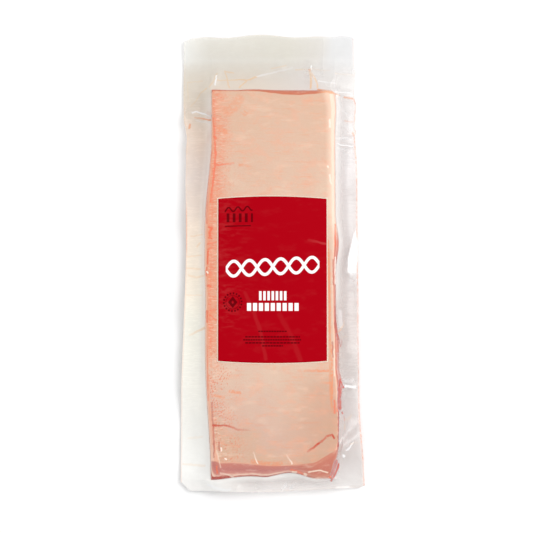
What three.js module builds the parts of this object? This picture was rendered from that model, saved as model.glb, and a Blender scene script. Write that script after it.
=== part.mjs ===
// Vacuum-packed pork belly slab: a clear shrink bag drawn tight round one long slab that lies skin side up,
// with a printed label on top. Millimetres, +Z up. The bag's open cut end, the header, points to +Y, its
// bottom seal to -Y, and the origin is on the surface that the pack rests on, under the middle of the pack.
import * as THREE from "three";

// ---- Driving dimensions ----
const PACK_LENGTH = 549; // cut end of the bag to its bottom seal
const PACK_WIDTH = 219; // across the bag where it is widest, at the bottom seal
const SLAB_HEIGHT = 37; // table to the crown of the skin
const SEAM_HEIGHT = 17; // where the upper and the lower wall of the bag meet round the slab
const RIM_HEIGHT = 4; // how high the free edge of the bag floats over the table, on average
const FILM_THICKNESS = 1.2; // both walls of the bag together, with the slack between them
const CROWN_ACROSS = 2.4; // how far the skin falls from its middle to its long edges
const CROWN_ALONG = 1.6; // and to its two ends
const SIDE_FULLNESS = 0.75; // a side of the slab is round at 1, squarer below it and flatter above it
const CUT_END_FULLNESS = 1.5; // the same for the end beside the bottom seal, which is cut on a slant
const SKIN_HALF = { width: 75, length: 230 }; // middle of the skin to the edges where those falls are reached

const LABEL_WIDTH = 128.3;
const LABEL_LENGTH = 191.9; // along its straight long sides
const LABEL_BULGE = 2.6; // rise of the arc that each short side is cut to
const LABEL_THICKNESS = 0.4;
const LABEL_GAP = 0.3; // glue and air between the bag and the label
const LABEL_CENTRE = { x: -0.4, y: -22.4 };

// ---- Outlines seen from above ----
// Each edge runs straight from `start` to `end` as its station goes along the pack, and each swell [centre,
// reach, size] pushes it to one side in a smooth bell. Long edges give X at a station Y, and short edges
// give Y at an X.
const alongY = { low: -PACK_LENGTH / 2, high: PACK_LENGTH / 2 };
const alongX = { low: -PACK_WIDTH / 2, high: PACK_WIDTH / 2 };

const BAG = {
  left: { ...alongY, start: -109.5, end: -107.3, swells: [[20, 190, 4.6], [148, 22, 2.4], [126, 40, 1.4]] },
  right: {
    ...alongY,
    start: 109.5,
    end: 97.8,
    swells: [
      ...[[-190, 60, -1.2], [-150, 120, -3.2], [-30, 140, -2], [150, 34, -1.6]],
      ...[[155, 5, 1.6], [187, 8, 0.8], [203, 14, -1.6], [232, 8, 1.6]],
    ],
  },
  bottom: {
    ...alongX,
    start: -272,
    end: -268.7,
    swells: [[-8, 90, -2.9], [-112, 15, 10.8], [112, 12, 3]],
  },
  top: {
    ...alongX,
    start: 271,
    end: 274.1,
    swells: [[-112, 16, -4.6], [-80, 18, 1.2], [-14, 42, 3.7], [52, 20, 0.7], [84, 14, 0.9], [101, 8, -3.5]],
  },
};

// The foot is the widest outline of the slab, at the height of the seam, and the shoulder is the edge of
// the skin.
const FOOT = {
  left: {
    ...alongY,
    start: -72.9,
    end: -73.5,
    swells: [[-150, 130, -3.2], [-40, 200, -6.2], [-18, 40, -1.4], [50, 84, -3.6]],
  },
  right: {
    ...alongY,
    start: 75.7,
    end: 74.7,
    swells: [
      ...[[-264, 30, -9], [-190, 110, 3.2], [-162, 26, 4.6], [-112, 40, 2.6]],
      ...[[14, 34, 3.6], [180, 30, 1.3], [212, 14, -6], [-240, 12, 1.2]],
    ],
  },
  bottom: { ...alongX, start: -259.2, end: -256.9, swells: [[-28, 44, 3.7], [20, 32, 7.4]] },
  top: { ...alongX, start: 206.4, end: 205, swells: [[-50, 20, -0.8], [-20, 24, 0.6]] },
};
const SHOULDER = {
  left: { ...alongY, start: -70.5, end: -71.5, swells: [[-50, 190, -4], [150, 44, 1.8], [-262, 92, 11.5]] },
  right: { ...alongY, start: 71.5, end: 66.8, swells: [[-262, 34, -8], [-213, 60, 5.2], [206, 26, -4]] },
  bottom: { ...alongX, start: -236, end: -236, swells: [[8, 60, -4.2], [80, 34, 14]] },
  top: { ...alongX, start: 202.5, end: 199.5, swells: [[26, 50, -5.6]] },
};

// ---- Swells of the skin and ripples of the bag's free edge ----
// Each wave has a height, the distances across and along the pack over which it turns by one radian, and a
// phase.
const SKIN_WAVES = [
  { height: 0.5, across: 46, along: 38, phase: 0.6 },
  { height: 0.35, across: -24, along: 61, phase: 0 },
];
const RIM_WAVES = [
  { height: 1.3, across: 60, along: 17, phase: 0 },
  { height: 0.9, across: 19, along: -90, phase: 1.2 },
  { height: 0.6, across: 400, along: 8.5, phase: 2 },
];

// ---- Folds of the bag ----
// Where the film is gathered it stands up in ridges. Each runs between two points and has a height and a
// half-width.
const FOLDS = [
  // The gathers beside the slab's header end, left and right.
  { from: [-73, 174], to: [-96, 181], height: 4, reach: 5 },
  { from: [-96, 181], to: [-107, 170], height: 3, reach: 5 },
  { from: [-76, 152], to: [-101, 141], height: 2.4, reach: 6 },
  { from: [70, 203], to: [98, 200], height: 2.4, reach: 5 },
  { from: [76, 148], to: [99, 146], height: 2.2, reach: 5 },
  // The creases of the header.
  { from: [-72, 209], to: [-67, 228], height: 2, reach: 4 },
  { from: [46, 209], to: [46, 239], height: 1.8, reach: 4 },
  { from: [56, 209], to: [48, 230], height: 1.2, reach: 4 },
  { from: [-24, 222], to: [9, 237], height: 1.2, reach: 5 },
  { from: [9, 237], to: [42, 237], height: 0.8, reach: 5 },
  // The gathers at the bottom end.
  { from: [78, -226], to: [106, -202], height: 4.2, reach: 6 },
  { from: [-76, -262], to: [-44, -270], height: 2.4, reach: 5 },
  // The free edge curls up a little along the left and at the bottom.
  { from: [-109, -130], to: [-106, 130], height: 5.5, reach: 20 },
  { from: [-64, -274], to: [72, -272], height: 5, reach: 11 },
];

const FOLD_START = 1 / 6; // share of the flap, from the foot outwards, over which the folds rise

// ---- Mesh density: cells across each lane of the bag, and of the label ----
const COLUMNS = { bagToFoot: 8, footToShoulder: 4, skin: 12 };
const ROWS = { bottomToFoot: 4, footToShoulder: 5, skin: 40, headerToFoot: 16 };
const LABEL_CELLS = { across: 12, along: 16 };

const { lerp, inverseLerp, clamp } = THREE.MathUtils;

const bell = (u) => (Math.abs(u) < 1 ? (1 - u * u) ** 2 : 0);

function edgeAt({ low, high, start, end, swells }, station) {
  const straight = lerp(start, end, inverseLerp(low, high, station));
  const push = ([centre, reach, size]) => size * bell((station - centre) / reach);
  return swells.reduce((sum, swell) => sum + push(swell), straight);
}

// Splits one axis of the pack into lanes: bag edge, foot, shoulder, skin, shoulder, foot, bag edge. `cells`
// holds the number of cells of each of the five lanes, and the result gives, for each grid line, its lane
// and place in it.
function gridLines(cells) {
  const lines = [];
  cells.forEach((count, lane) => {
    for (let i = 0; i < count; i++) lines.push({ lane, share: i / count });
  });
  lines.push({ lane: cells.length - 1, share: 1 });
  return lines;
}

const columnLines = gridLines([
  COLUMNS.bagToFoot,
  COLUMNS.footToShoulder,
  COLUMNS.skin,
  COLUMNS.footToShoulder,
  COLUMNS.bagToFoot,
]);
const rowLines = gridLines([
  ROWS.bottomToFoot,
  ROWS.footToShoulder,
  ROWS.skin,
  ROWS.footToShoulder,
  ROWS.headerToFoot,
]);

// How a grid line stands to the slab on one axis: `out` is 1 at the bag's edge and 0 at the foot, and `up`
// is 0 at the foot and 1 from the shoulder inwards.
function relation({ lane, share }, lowFullness) {
  const quarter = (share * Math.PI) / 2;
  if (lane === 0) return { out: 1 - share, up: 0 };
  if (lane === 1) return { out: 0, up: Math.sin(quarter) ** lowFullness };
  if (lane === 2) return { out: 0, up: 1 };
  if (lane === 3) return { out: 0, up: Math.cos(quarter) ** SIDE_FULLNESS };
  return { out: share, up: 0 };
}

// The place of a grid line between the edges low to high, at a station of the other axis. With `up` it
// turns through a quarter of a circle, or of the squarer or flatter curve that the fullness gives, from the
// foot to the shoulder.
function placeOf({ lane, share }, { edges, lowFullness }, station) {
  const places = edges.map((edge) => edgeAt(edge, station));
  const [bagLow, footLow, shoulderLow, shoulderHigh, footHigh, bagHigh] = places;
  const quarter = (share * Math.PI) / 2;
  if (lane === 0) return lerp(bagLow, footLow, share);
  if (lane === 1) return lerp(footLow, shoulderLow, 1 - Math.cos(quarter) ** lowFullness);
  if (lane === 2) return lerp(shoulderLow, shoulderHigh, share);
  if (lane === 3) return lerp(footHigh, shoulderHigh, 1 - Math.sin(quarter) ** SIDE_FULLNESS);
  return lerp(footHigh, bagHigh, share);
}

const ACROSS = {
  edges: [BAG.left, FOOT.left, SHOULDER.left, SHOULDER.right, FOOT.right, BAG.right],
  lowFullness: SIDE_FULLNESS,
};
const ALONG = {
  edges: [BAG.bottom, FOOT.bottom, SHOULDER.bottom, SHOULDER.top, FOOT.top, BAG.top],
  lowFullness: CUT_END_FULLNESS,
};

function waveHeight(waves, x, y) {
  const one = ({ height, across, along, phase }) => height * Math.sin(x / across + y / along + phase);
  return waves.reduce((sum, wave) => sum + one(wave), 0);
}

// The height of the skin: a low crown with the slow swells of soft fat.
function skinHeight(x, y) {
  const crown = CROWN_ACROSS * (x / SKIN_HALF.width) ** 2 + CROWN_ALONG * (y / SKIN_HALF.length) ** 4;
  return SLAB_HEIGHT - crown + waveHeight(SKIN_WAVES, x, y);
}

function foldHeight(x, y) {
  const line = new THREE.Line3();
  const point = new THREE.Vector3(x, y, 0);
  const nearest = new THREE.Vector3();
  return FOLDS.reduce((sum, { from, to, height, reach }) => {
    line.set(new THREE.Vector3(...from, 0), new THREE.Vector3(...to, 0));
    line.closestPointToPoint(point, true, nearest);
    return sum + height * bell(point.distanceTo(nearest) / (2 * reach));
  }, 0);
}

// The height of the flat bag beyond the foot. It leaves the slab at the seam and sinks towards a rippled
// free edge.
function flapHeight(x, y, out) {
  const rim = RIM_HEIGHT + waveHeight(RIM_WAVES, x, y);
  const sunk = lerp(rim, SEAM_HEIGHT, (1 - out) ** 2);
  return sunk + foldHeight(x, y) * clamp(out / FOLD_START, 0, 1);
}

// The sealed bag with the slab in it: a box whose grid lines are bent to the outlines and whose two large
// faces take the heights of the bag's upper and lower wall.
function bagGeometry() {
  const columns = columnLines.length - 1;
  const rows = rowLines.length - 1;
  const geometry = new THREE.BoxGeometry(1, 1, 1, columns, rows, 1);
  const position = geometry.getAttribute("position");
  for (let i = 0; i < position.count; i++) {
    const column = columnLines[Math.round((position.getX(i) + 0.5) * columns)];
    const row = rowLines[Math.round((position.getY(i) + 0.5) * rows)];
    const x = placeOf(column, ACROSS, placeOf(row, ALONG, 0));
    const y = placeOf(row, ALONG, x);
    const across = relation(column, ACROSS.lowFullness);
    const along = relation(row, ALONG.lowFullness);
    const out = 1 - (1 - across.out) * (1 - along.out);
    const up = across.up * along.up;
    const flap = flapHeight(x, y, out);
    const isUpper = position.getZ(i) > 0;
    const z = isUpper
      ? lerp(flap + FILM_THICKNESS / 2, skinHeight(x, y), up)
      : lerp(flap - FILM_THICKNESS / 2, 0, up);
    position.setXYZ(i, x, y, z);
  }
  geometry.computeVertexNormals();
  return geometry;
}

// The label: a thin sheet that lies on the skin's crown, with its two short sides cut to a shallow arc.
function labelGeometry() {
  const geometry = new THREE.BoxGeometry(1, 1, 1, LABEL_CELLS.across, LABEL_CELLS.along, 1);
  const position = geometry.getAttribute("position");
  for (let i = 0; i < position.count; i++) {
    const u = position.getX(i) * 2;
    const v = position.getY(i) * 2;
    const x = LABEL_CENTRE.x + (u * LABEL_WIDTH) / 2;
    const y = LABEL_CENTRE.y + v * (LABEL_LENGTH / 2 + LABEL_BULGE * (1 - u * u));
    const z = skinHeight(x, y) + LABEL_GAP + (position.getZ(i) + 0.5) * LABEL_THICKNESS;
    position.setXYZ(i, x, y, z);
  }
  geometry.computeVertexNormals();
  return geometry;
}

function part(name, geometry, material) {
  const mesh = new THREE.Mesh(geometry, material);
  mesh.name = name;
  return mesh;
}

const film = new THREE.MeshStandardMaterial({ color: 0xe9cdbb, roughness: 0.15, metalness: 0 });
const print = new THREE.MeshStandardMaterial({ color: 0xb20015, roughness: 0.4, metalness: 0 });

const pack = new THREE.Group();
pack.add(part("pouch", bagGeometry(), film));
pack.add(part("label", labelGeometry(), print));

export default pack;
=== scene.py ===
"""Vacuum-packed pork belly: one long slab, skin side up, in a clear shrink bag with a printed label on top.

The bag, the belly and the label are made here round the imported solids, from the same outlines and heights.
Classes hold their sizes in millimetres, apart from those of the studio, and meshes are written in metres.
+Y points to the open cut end of the bag, and +Z up.
"""

import logging
import math
from dataclasses import dataclass, replace
from enum import Enum
from typing import Sequence

import bmesh
import bpy
import numpy as np
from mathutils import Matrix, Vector

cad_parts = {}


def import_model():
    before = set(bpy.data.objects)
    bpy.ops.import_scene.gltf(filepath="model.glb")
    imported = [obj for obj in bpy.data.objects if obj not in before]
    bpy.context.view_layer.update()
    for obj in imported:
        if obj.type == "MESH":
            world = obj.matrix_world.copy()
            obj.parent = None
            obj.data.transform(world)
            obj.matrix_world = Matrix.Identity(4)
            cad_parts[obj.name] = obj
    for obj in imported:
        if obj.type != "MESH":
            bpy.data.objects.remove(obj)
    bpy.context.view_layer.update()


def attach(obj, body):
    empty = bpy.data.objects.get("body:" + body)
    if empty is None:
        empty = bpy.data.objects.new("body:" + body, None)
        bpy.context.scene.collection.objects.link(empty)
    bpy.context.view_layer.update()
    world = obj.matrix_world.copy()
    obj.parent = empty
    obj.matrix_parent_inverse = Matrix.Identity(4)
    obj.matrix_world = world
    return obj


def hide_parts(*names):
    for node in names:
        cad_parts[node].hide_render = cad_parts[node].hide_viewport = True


MM = 0.001
WELD_GAP = 0.002 * MM
RIM_ANGLE = math.radians(75.0)
BODY = "root"
LOG = logging.getLogger("pork_belly_pack")

Array = np.ndarray
Point = tuple[float, float]
Triple = tuple[float, float, float]
Colour = tuple[float, float, float, float]
Stops = Sequence[tuple[float, Colour]]


# ---- Small maths ----


def bell(distance: Array) -> Array:
    """Return a smooth bump that is 1 at 0 and ends at a distance of 1."""
    return np.where(np.abs(distance) < 1.0, (1.0 - distance * distance) ** 2, 0.0)


def lerp(low: Array | float, high: Array | float, share: Array | float) -> Array | float:
    """Return the value at a share of the way from low to high."""
    return low + (high - low) * share


def srgb(red: int, green: int, blue: int) -> Colour:
    """Turn a screen colour into the linear colour that shaders use.

    Args:
        red: Red, 0 to 255.
        green: Green, 0 to 255.
        blue: Blue, 0 to 255.

    Returns:
        The linear colour with an alpha of 1.
    """

    def linear(level: int) -> float:
        """Turn one of the three levels."""
        share = level / 255.0
        return share / 12.92 if share <= 0.04045 else ((share + 0.055) / 1.055) ** 2.4

    return (linear(red), linear(green), linear(blue), 1.0)


# ---- The form of the pack ----


class Lane(Enum):
    """The five lanes of one axis of the pack, from its low edge to its high one."""

    LOW_FLAP = 0
    LOW_SIDE = 1
    SKIN = 2
    HIGH_SIDE = 3
    HIGH_FLAP = 4


class Wall(Enum):
    """The two walls of a closed envelope."""

    UNDER = 0.0
    UPPER = 1.0


@dataclass(frozen=True)
class Edge:
    """One edge of an outline seen from above, straight but for a few smooth swells.

    A long edge gives X at a station Y, and a short edge gives Y at a station X.
    """

    half_span: float
    start: float
    end: float
    swells: tuple[Triple, ...] = ()

    def at(self, station: Array) -> Array:
        """Find the edge's place.

        Args:
            station: Places along the edge.

        Returns:
            The place of the edge at each of them.
        """
        share = (station + self.half_span) / (2.0 * self.half_span)
        place = lerp(self.start, self.end, share)
        for centre, reach, size in self.swells:
            place = place + size * bell((station - centre) / reach)
        return place

    def moved(self, distance: float) -> "Edge":
        """Return the same edge moved sideways."""
        return replace(self, start=self.start + distance, end=self.end + distance)


@dataclass(frozen=True)
class Cells:
    """The number of grid cells in each lane of one axis."""

    low_flap: int
    low_side: int
    skin: int
    high_side: int
    high_flap: int

    @property
    def counts(self) -> tuple[int, ...]:
        """The five numbers from the low edge to the high one."""
        return (self.low_flap, self.low_side, self.skin, self.high_side, self.high_flap)

    @property
    def total(self) -> int:
        """The number of cells across the whole axis."""
        return sum(self.counts)

    def locate(self, line: Array) -> tuple[Array, Array]:
        """Find the lane of each grid line.

        Args:
            line: Number of each grid line, from 0 to the total.

        Returns:
            The number of the lane of each line, and its share of the way across that lane.
        """
        starts = np.concatenate(([0], np.cumsum(self.counts)[:-1]))
        filled = np.nonzero(self.counts)[0]
        lane = np.searchsorted(starts, line, side="right") - 1
        lane = np.clip(lane, filled[0], filled[-1])
        width = np.array(self.counts)[lane]
        return lane, np.clip((line - starts[lane]) / width, 0.0, 1.0)


@dataclass(frozen=True)
class Axis:
    """One axis of the pack: its edges in order, and how full the two sides of the slab are.

    The slab's skin begins at a shoulder, and its side ends at a foot. A fullness of 1 makes a side round,
    less makes it squarer, and more makes it flatter.
    """

    bag_low: Edge
    foot_low: Edge
    shoulder_low: Edge
    shoulder_high: Edge
    foot_high: Edge
    bag_high: Edge
    low_fullness: float
    high_fullness: float

    def inset(self, distance: float) -> "Axis":
        """Make the slab smaller within the same bag.

        Args:
            distance: How far its four edges move inwards.

        Returns:
            The new axis.
        """
        return replace(
            self,
            foot_low=self.foot_low.moved(distance),
            shoulder_low=self.shoulder_low.moved(distance),
            shoulder_high=self.shoulder_high.moved(-distance),
            foot_high=self.foot_high.moved(-distance),
        )

    def place(self, lane: Array, share: Array, station: Array) -> Array:
        """Return where grid lines run.

        Args:
            lane: Number of each line's lane.
            share: Share of the way across the lane.
            station: Place on the other axis.

        Returns:
            The place of each line on this axis.
        """
        foot_low, shoulder_low = self.foot_low.at(station), self.shoulder_low.at(station)
        foot_high, shoulder_high = self.foot_high.at(station), self.shoulder_high.at(station)
        quarter = share * math.pi / 2.0
        return np.select(
            [lane == each.value for each in Lane],
            [
                lerp(self.bag_low.at(station), foot_low, share),
                lerp(foot_low, shoulder_low, 1.0 - np.cos(quarter) ** self.low_fullness),
                lerp(shoulder_low, shoulder_high, share),
                lerp(foot_high, shoulder_high, 1.0 - np.sin(quarter) ** self.high_fullness),
                lerp(foot_high, self.bag_high.at(station), share),
            ],
        )

    def rise(self, lane: Array, share: Array) -> Array:
        """Find how far up the slab grid lines run.

        Args:
            lane: Number of each line's lane.
            share: Share of the way across the lane.

        Returns:
            0 on the flaps, 1 on the skin, and the height between them on the sides.
        """
        quarter = share * math.pi / 2.0
        low = np.sin(quarter) ** self.low_fullness
        high = np.cos(quarter) ** self.high_fullness
        lanes = (Lane.LOW_SIDE, Lane.SKIN, Lane.HIGH_SIDE)
        return np.select([lane == each.value for each in lanes], [low, np.ones_like(share), high])

    def reach(self, lane: Array, share: Array) -> Array:
        """Return 0 on the slab and the share of the way out on the flaps."""
        flaps = [lane == Lane.LOW_FLAP.value, lane == Lane.HIGH_FLAP.value]
        return np.select(flaps, [1.0 - share, share])


@dataclass(frozen=True)
class Waves:
    """A few sine waves.

    Each has a height, the lengths across and along over which it turns by one radian, and a phase.
    """

    waves: tuple[tuple[float, float, float, float], ...]

    def at(self, x: Array, y: Array) -> Array:
        """Return the height of all waves together."""
        return sum(size * np.sin(x / across + y / along + phase) for size, across, along, phase in self.waves)


@dataclass(frozen=True)
class Ripples:
    """Many small waves in all directions, drawn from a seed."""

    count: int
    shortest: float
    longest: float
    height: float
    seed: int

    def at(self, x: Array, y: Array) -> Array:
        """Add up all ripples.

        Args:
            x: Place across the pack.
            y: Place along the pack.

        Returns:
            Their height.
        """
        draw = np.random.default_rng(self.seed)
        total = np.zeros_like(x)
        for _ in range(self.count):
            turn = draw.uniform(0.0, 2.0 * math.pi)
            length = draw.uniform(self.shortest, self.longest)
            along = (x * math.cos(turn) + y * math.sin(turn)) * 2.0 * math.pi / length
            total += np.sin(along + draw.uniform(0.0, 2.0 * math.pi))
        return total * self.height / math.sqrt(self.count)


@dataclass(frozen=True)
class Fold:
    """A ridge of gathered film between two points."""

    start: Point
    end: Point
    height: float
    reach: float

    def at(self, x: Array, y: Array) -> Array:
        """Measure the ridge.

        Args:
            x: Place across the pack.
            y: Place along the pack.

        Returns:
            Its height.
        """
        run = (self.end[0] - self.start[0], self.end[1] - self.start[1])
        along = (x - self.start[0]) * run[0] + (y - self.start[1]) * run[1]
        share = np.clip(along / (run[0] ** 2 + run[1] ** 2), 0.0, 1.0)
        distance = np.hypot(x - self.start[0] - share * run[0], y - self.start[1] - share * run[1])
        return self.height * bell(distance / (2.0 * self.reach))


@dataclass(frozen=True)
class LabelPlan:
    """The label's outline: its two long edges are straight, and its two short ones bow outwards."""

    width: float = 128.3
    length: float = 191.9
    bulge: float = 2.6
    centre: Point = (-0.4, -22.4)


@dataclass(frozen=True)
class PackForm:
    """The outlines and heights that the bag, the belly and the label share."""

    half_length: float = 274.5
    half_width: float = 109.5
    slab_height: float = 37.0
    seam_height: float = 17.0
    rim_height: float = 4.0
    film_thickness: float = 1.2
    crown_across: float = 2.4
    crown_along: float = 1.6
    skin_half_width: float = 75.0
    skin_half_length: float = 230.0
    side_fullness: float = 0.75
    cut_end_fullness: float = 1.5
    fold_start: float = 1.0 / 6.0
    skin_waves: Waves = Waves(((0.5, 46.0, 38.0, 0.6), (0.35, -24.0, 61.0, 0.0)))
    rim_waves: Waves = Waves(((1.3, 60.0, 17.0, 0.0), (0.9, 19.0, -90.0, 1.2), (0.6, 400.0, 8.5, 2.0)))
    label: LabelPlan = LabelPlan()
    folds: tuple[Fold, ...] = (
        Fold((-73, 174), (-96, 181), 4, 5),
        Fold((-96, 181), (-107, 170), 3.0, 5),
        Fold((-76, 152), (-101, 141), 2.4, 6),
        Fold((70, 203), (98, 200), 2.4, 5),
        Fold((76, 148), (99, 146), 2.2, 5),
        Fold((-72, 209), (-67, 228), 2, 4),
        Fold((46, 209), (46, 239), 1.8, 4),
        Fold((56, 209), (48, 230), 1.2, 4),
        Fold((-24, 222), (9, 237), 1.2, 5),
        Fold((9, 237), (42, 237), 0.8, 5),
        Fold((78, -226), (106, -202), 4.2, 6),
        Fold((-76, -262), (-44, -270), 2.4, 5),
        Fold((-109, -130), (-106, 130), 5.5, 20),
        Fold((-64, -274), (72, -272), 5, 11),
    )

    def long_edge(self, start: float, end: float, *swells: Triple) -> Edge:
        """Return an edge that runs along the pack."""
        return Edge(self.half_length, start, end, swells)

    def short_edge(self, start: float, end: float, *swells: Triple) -> Edge:
        """Return an edge that runs across the pack."""
        return Edge(self.half_width, start, end, swells)

    @property
    def across(self) -> Axis:
        """Lay out the long edges.

        Returns:
            The axis from the left edge of the bag to the right one.
        """
        long_edge = self.long_edge
        foot_left = ((-150, 130, -3.2), (-40, 200, -6.2), (-18, 40, -1.4), (50, 84, -3.6))
        foot_right = ((-264, 30, -9), (-190, 110, 3.2), (-162, 26, 4.6), (-112, 40, 2.6), (14, 34, 3.6))
        bag_right = ((-190, 60, -1.2), (-150, 120, -3.2), (-30, 140, -2), (150, 34, -1.6))
        scallops = ((155, 5, 1.6), (187, 8, 0.8), (203, 14, -1.6), (232, 8, 1.6))
        return Axis(
            long_edge(-109.5, -107.3, (20, 190, 4.6), (148, 22, 2.4), (126, 40, 1.4)),
            long_edge(-72.9, -73.5, *foot_left),
            long_edge(-70.5, -71.5, (-50, 190, -4), (150, 44, 1.8), (-262, 92, 11.5)),
            long_edge(71.5, 66.8, (-262, 34, -8), (-213, 60, 5.2), (206, 26, -4)),
            long_edge(75.7, 74.7, *foot_right, (180, 30, 1.3), (212, 14, -6), (-240, 12, 1.2)),
            long_edge(109.5, 97.8, *bag_right, *scallops),
            self.side_fullness,
            self.side_fullness,
        )

    @property
    def along(self) -> Axis:
        """Lay out the short edges.

        Returns:
            The axis from the bottom seal of the bag to its open cut end.
        """
        short_edge = self.short_edge
        mouth = ((-112, 16, -4.6), (-80, 18, 1.2), (-14, 42, 3.7), (52, 20, 0.7), (84, 14, 0.9))
        return Axis(
            short_edge(-272, -268.7, (-8, 90, -2.9), (-112, 15, 10.8), (112, 12, 3)),
            short_edge(-259.2, -256.9, (-28, 44, 3.7), (20, 32, 7.4)),
            short_edge(-236, -236, (8, 60, -4.2), (80, 34, 14)),
            short_edge(202.5, 199.5, (26, 50, -5.6)),
            short_edge(206.4, 205, (-50, 20, -0.8), (-20, 24, 0.6)),
            short_edge(271, 274.1, *mouth, (101, 8, -3.5)),
            self.cut_end_fullness,
            self.side_fullness,
        )

    def skin_height(self, x: Array, y: Array) -> Array:
        """Measure the film over the skin.

        Args:
            x: Place across the pack.
            y: Place along the pack.

        Returns:
            Its height.
        """
        crown = self.crown_across * (x / self.skin_half_width) ** 2
        crown = crown + self.crown_along * (y / self.skin_half_length) ** 4
        return self.slab_height - crown + self.skin_waves.at(x, y)

    def flap_height(self, x: Array, y: Array, out: Array) -> Array:
        """Measure the flat bag beyond the slab.

        Args:
            x: Place across the pack.
            y: Place along the pack.
            out: 0 at the slab's foot and 1 at the bag's free edge.

        Returns:
            The height halfway between the two walls.
        """
        rim = self.rim_height + self.rim_waves.at(x, y)
        sunk = lerp(rim, self.seam_height, (1.0 - out) ** 2)
        folds = sum(fold.at(x, y) for fold in self.folds)
        return sunk + folds * np.clip(out / self.fold_start, 0.0, 1.0)


@dataclass
class Spread:
    """Where each vertex of an envelope lies on the pack."""

    x: Array
    y: Array
    out: Array
    up: Array
    upper: Array


def envelope(
    name: str, across: Axis, along: Axis, columns: Cells, rows: Cells
) -> tuple[bpy.types.Object, Spread]:
    """Make two grids, one over the other, whose lines follow the edges of both axes.

    Args:
        name: Name of the new object.
        across: Axis from left to right.
        along: Axis from the bottom seal to the header.
        columns: Cells from left to right.
        rows: Cells from the bottom seal to the header.

    Returns:
        The object, still flat, and where its vertices lie on the pack.
    """
    shape = bmesh.new()
    wall = shape.verts.layers.float.new("wall")
    bmesh.ops.create_grid(shape, x_segments=columns.total, y_segments=rows.total, size=1.0)
    copied = bmesh.ops.duplicate(shape, geom=shape.verts[:] + shape.edges[:] + shape.faces[:])["geom"]
    for vertex in shape.verts:
        vertex[wall] = Wall.UPPER.value
    for vertex in (part for part in copied if isinstance(part, bmesh.types.BMVert)):
        vertex[wall] = Wall.UNDER.value
    bmesh.ops.reverse_faces(shape, faces=[part for part in copied if isinstance(part, bmesh.types.BMFace)])
    mesh = bpy.data.meshes.new(name)
    shape.to_mesh(mesh)
    shape.free()
    flat = read_points(mesh)
    column, column_share = columns.locate((flat[:, 0] + 1.0) / 2.0 * columns.total)
    row, row_share = rows.locate((flat[:, 1] + 1.0) / 2.0 * rows.total)
    x = across.place(column, column_share, along.place(row, row_share, np.zeros(len(flat))))
    y = along.place(row, row_share, x)
    out = 1.0 - (1.0 - across.reach(column, column_share)) * (1.0 - along.reach(row, row_share))
    up = across.rise(column, column_share) * along.rise(row, row_share)
    upper = np.zeros(len(flat), np.float32)
    mesh.attributes["wall"].data.foreach_get("value", upper)
    return add_object(name, mesh), Spread(x, y, out, up, upper == Wall.UPPER.value)


def add_object(name: str, data: bpy.types.ID) -> bpy.types.Object:
    """Add an object to the scene.

    Args:
        name: Its name.
        data: Its mesh, light or camera.

    Returns:
        The new object.
    """
    added = bpy.data.objects.new(name, data)
    bpy.context.scene.collection.objects.link(added)
    return added


def read_points(mesh: bpy.types.Mesh) -> Array:
    """Read where a mesh's vertices are.

    Args:
        mesh: The mesh.

    Returns:
        A row of three numbers for each vertex.
    """
    points = np.zeros(len(mesh.vertices) * 3, np.float32)
    mesh.vertices.foreach_get("co", points)
    return points.reshape(-1, 3).astype(float)


def write_points(mesh: bpy.types.Mesh, x: Array, y: Array, z: Array) -> None:
    """Move a mesh's vertices.

    Args:
        mesh: The mesh.
        x: New places across, in millimetres.
        y: New places along.
        z: New heights.
    """
    points = np.stack([x, y, z], axis=1) * MM
    mesh.vertices.foreach_set("co", points.astype(np.float32).ravel())
    mesh.update()


def write_vectors(mesh: bpy.types.Mesh, name: str, x: Array, y: Array, z: Array) -> None:
    """Store three numbers at every vertex under one attribute's name."""
    attribute = mesh.attributes.new(name, "FLOAT_VECTOR", "POINT")
    attribute.data.foreach_set("vector", np.stack([x, y, z], axis=1).astype(np.float32).ravel())


def weld(piece: bpy.types.Object) -> None:
    """Join the two walls of an envelope where their rims meet, and shade it smooth but for the rims.

    Args:
        piece: The envelope.
    """
    shape = bmesh.new()
    shape.from_mesh(piece.data)
    bmesh.ops.remove_doubles(shape, verts=shape.verts, dist=WELD_GAP)
    for face in shape.faces:
        face.smooth = True
    for edge in shape.edges:
        edge.smooth = edge.calc_face_angle(0.0) < RIM_ANGLE
    shape.to_mesh(piece.data)
    shape.free()


def hand_over(piece: bpy.types.Object, material: bpy.types.Material, slot: str, *nodes: str) -> None:
    """Dress a finished piece, give it its body and hide the solids that it stands for.

    Args:
        piece: The finished piece.
        material: Its material.
        slot: Not used.
        *nodes: Names of the solids that the piece replaces.
    """
    piece.data.materials.append(material)
    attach(piece, BODY)
    if nodes:
        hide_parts(*nodes)


# ---- Shader maths ----


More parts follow.
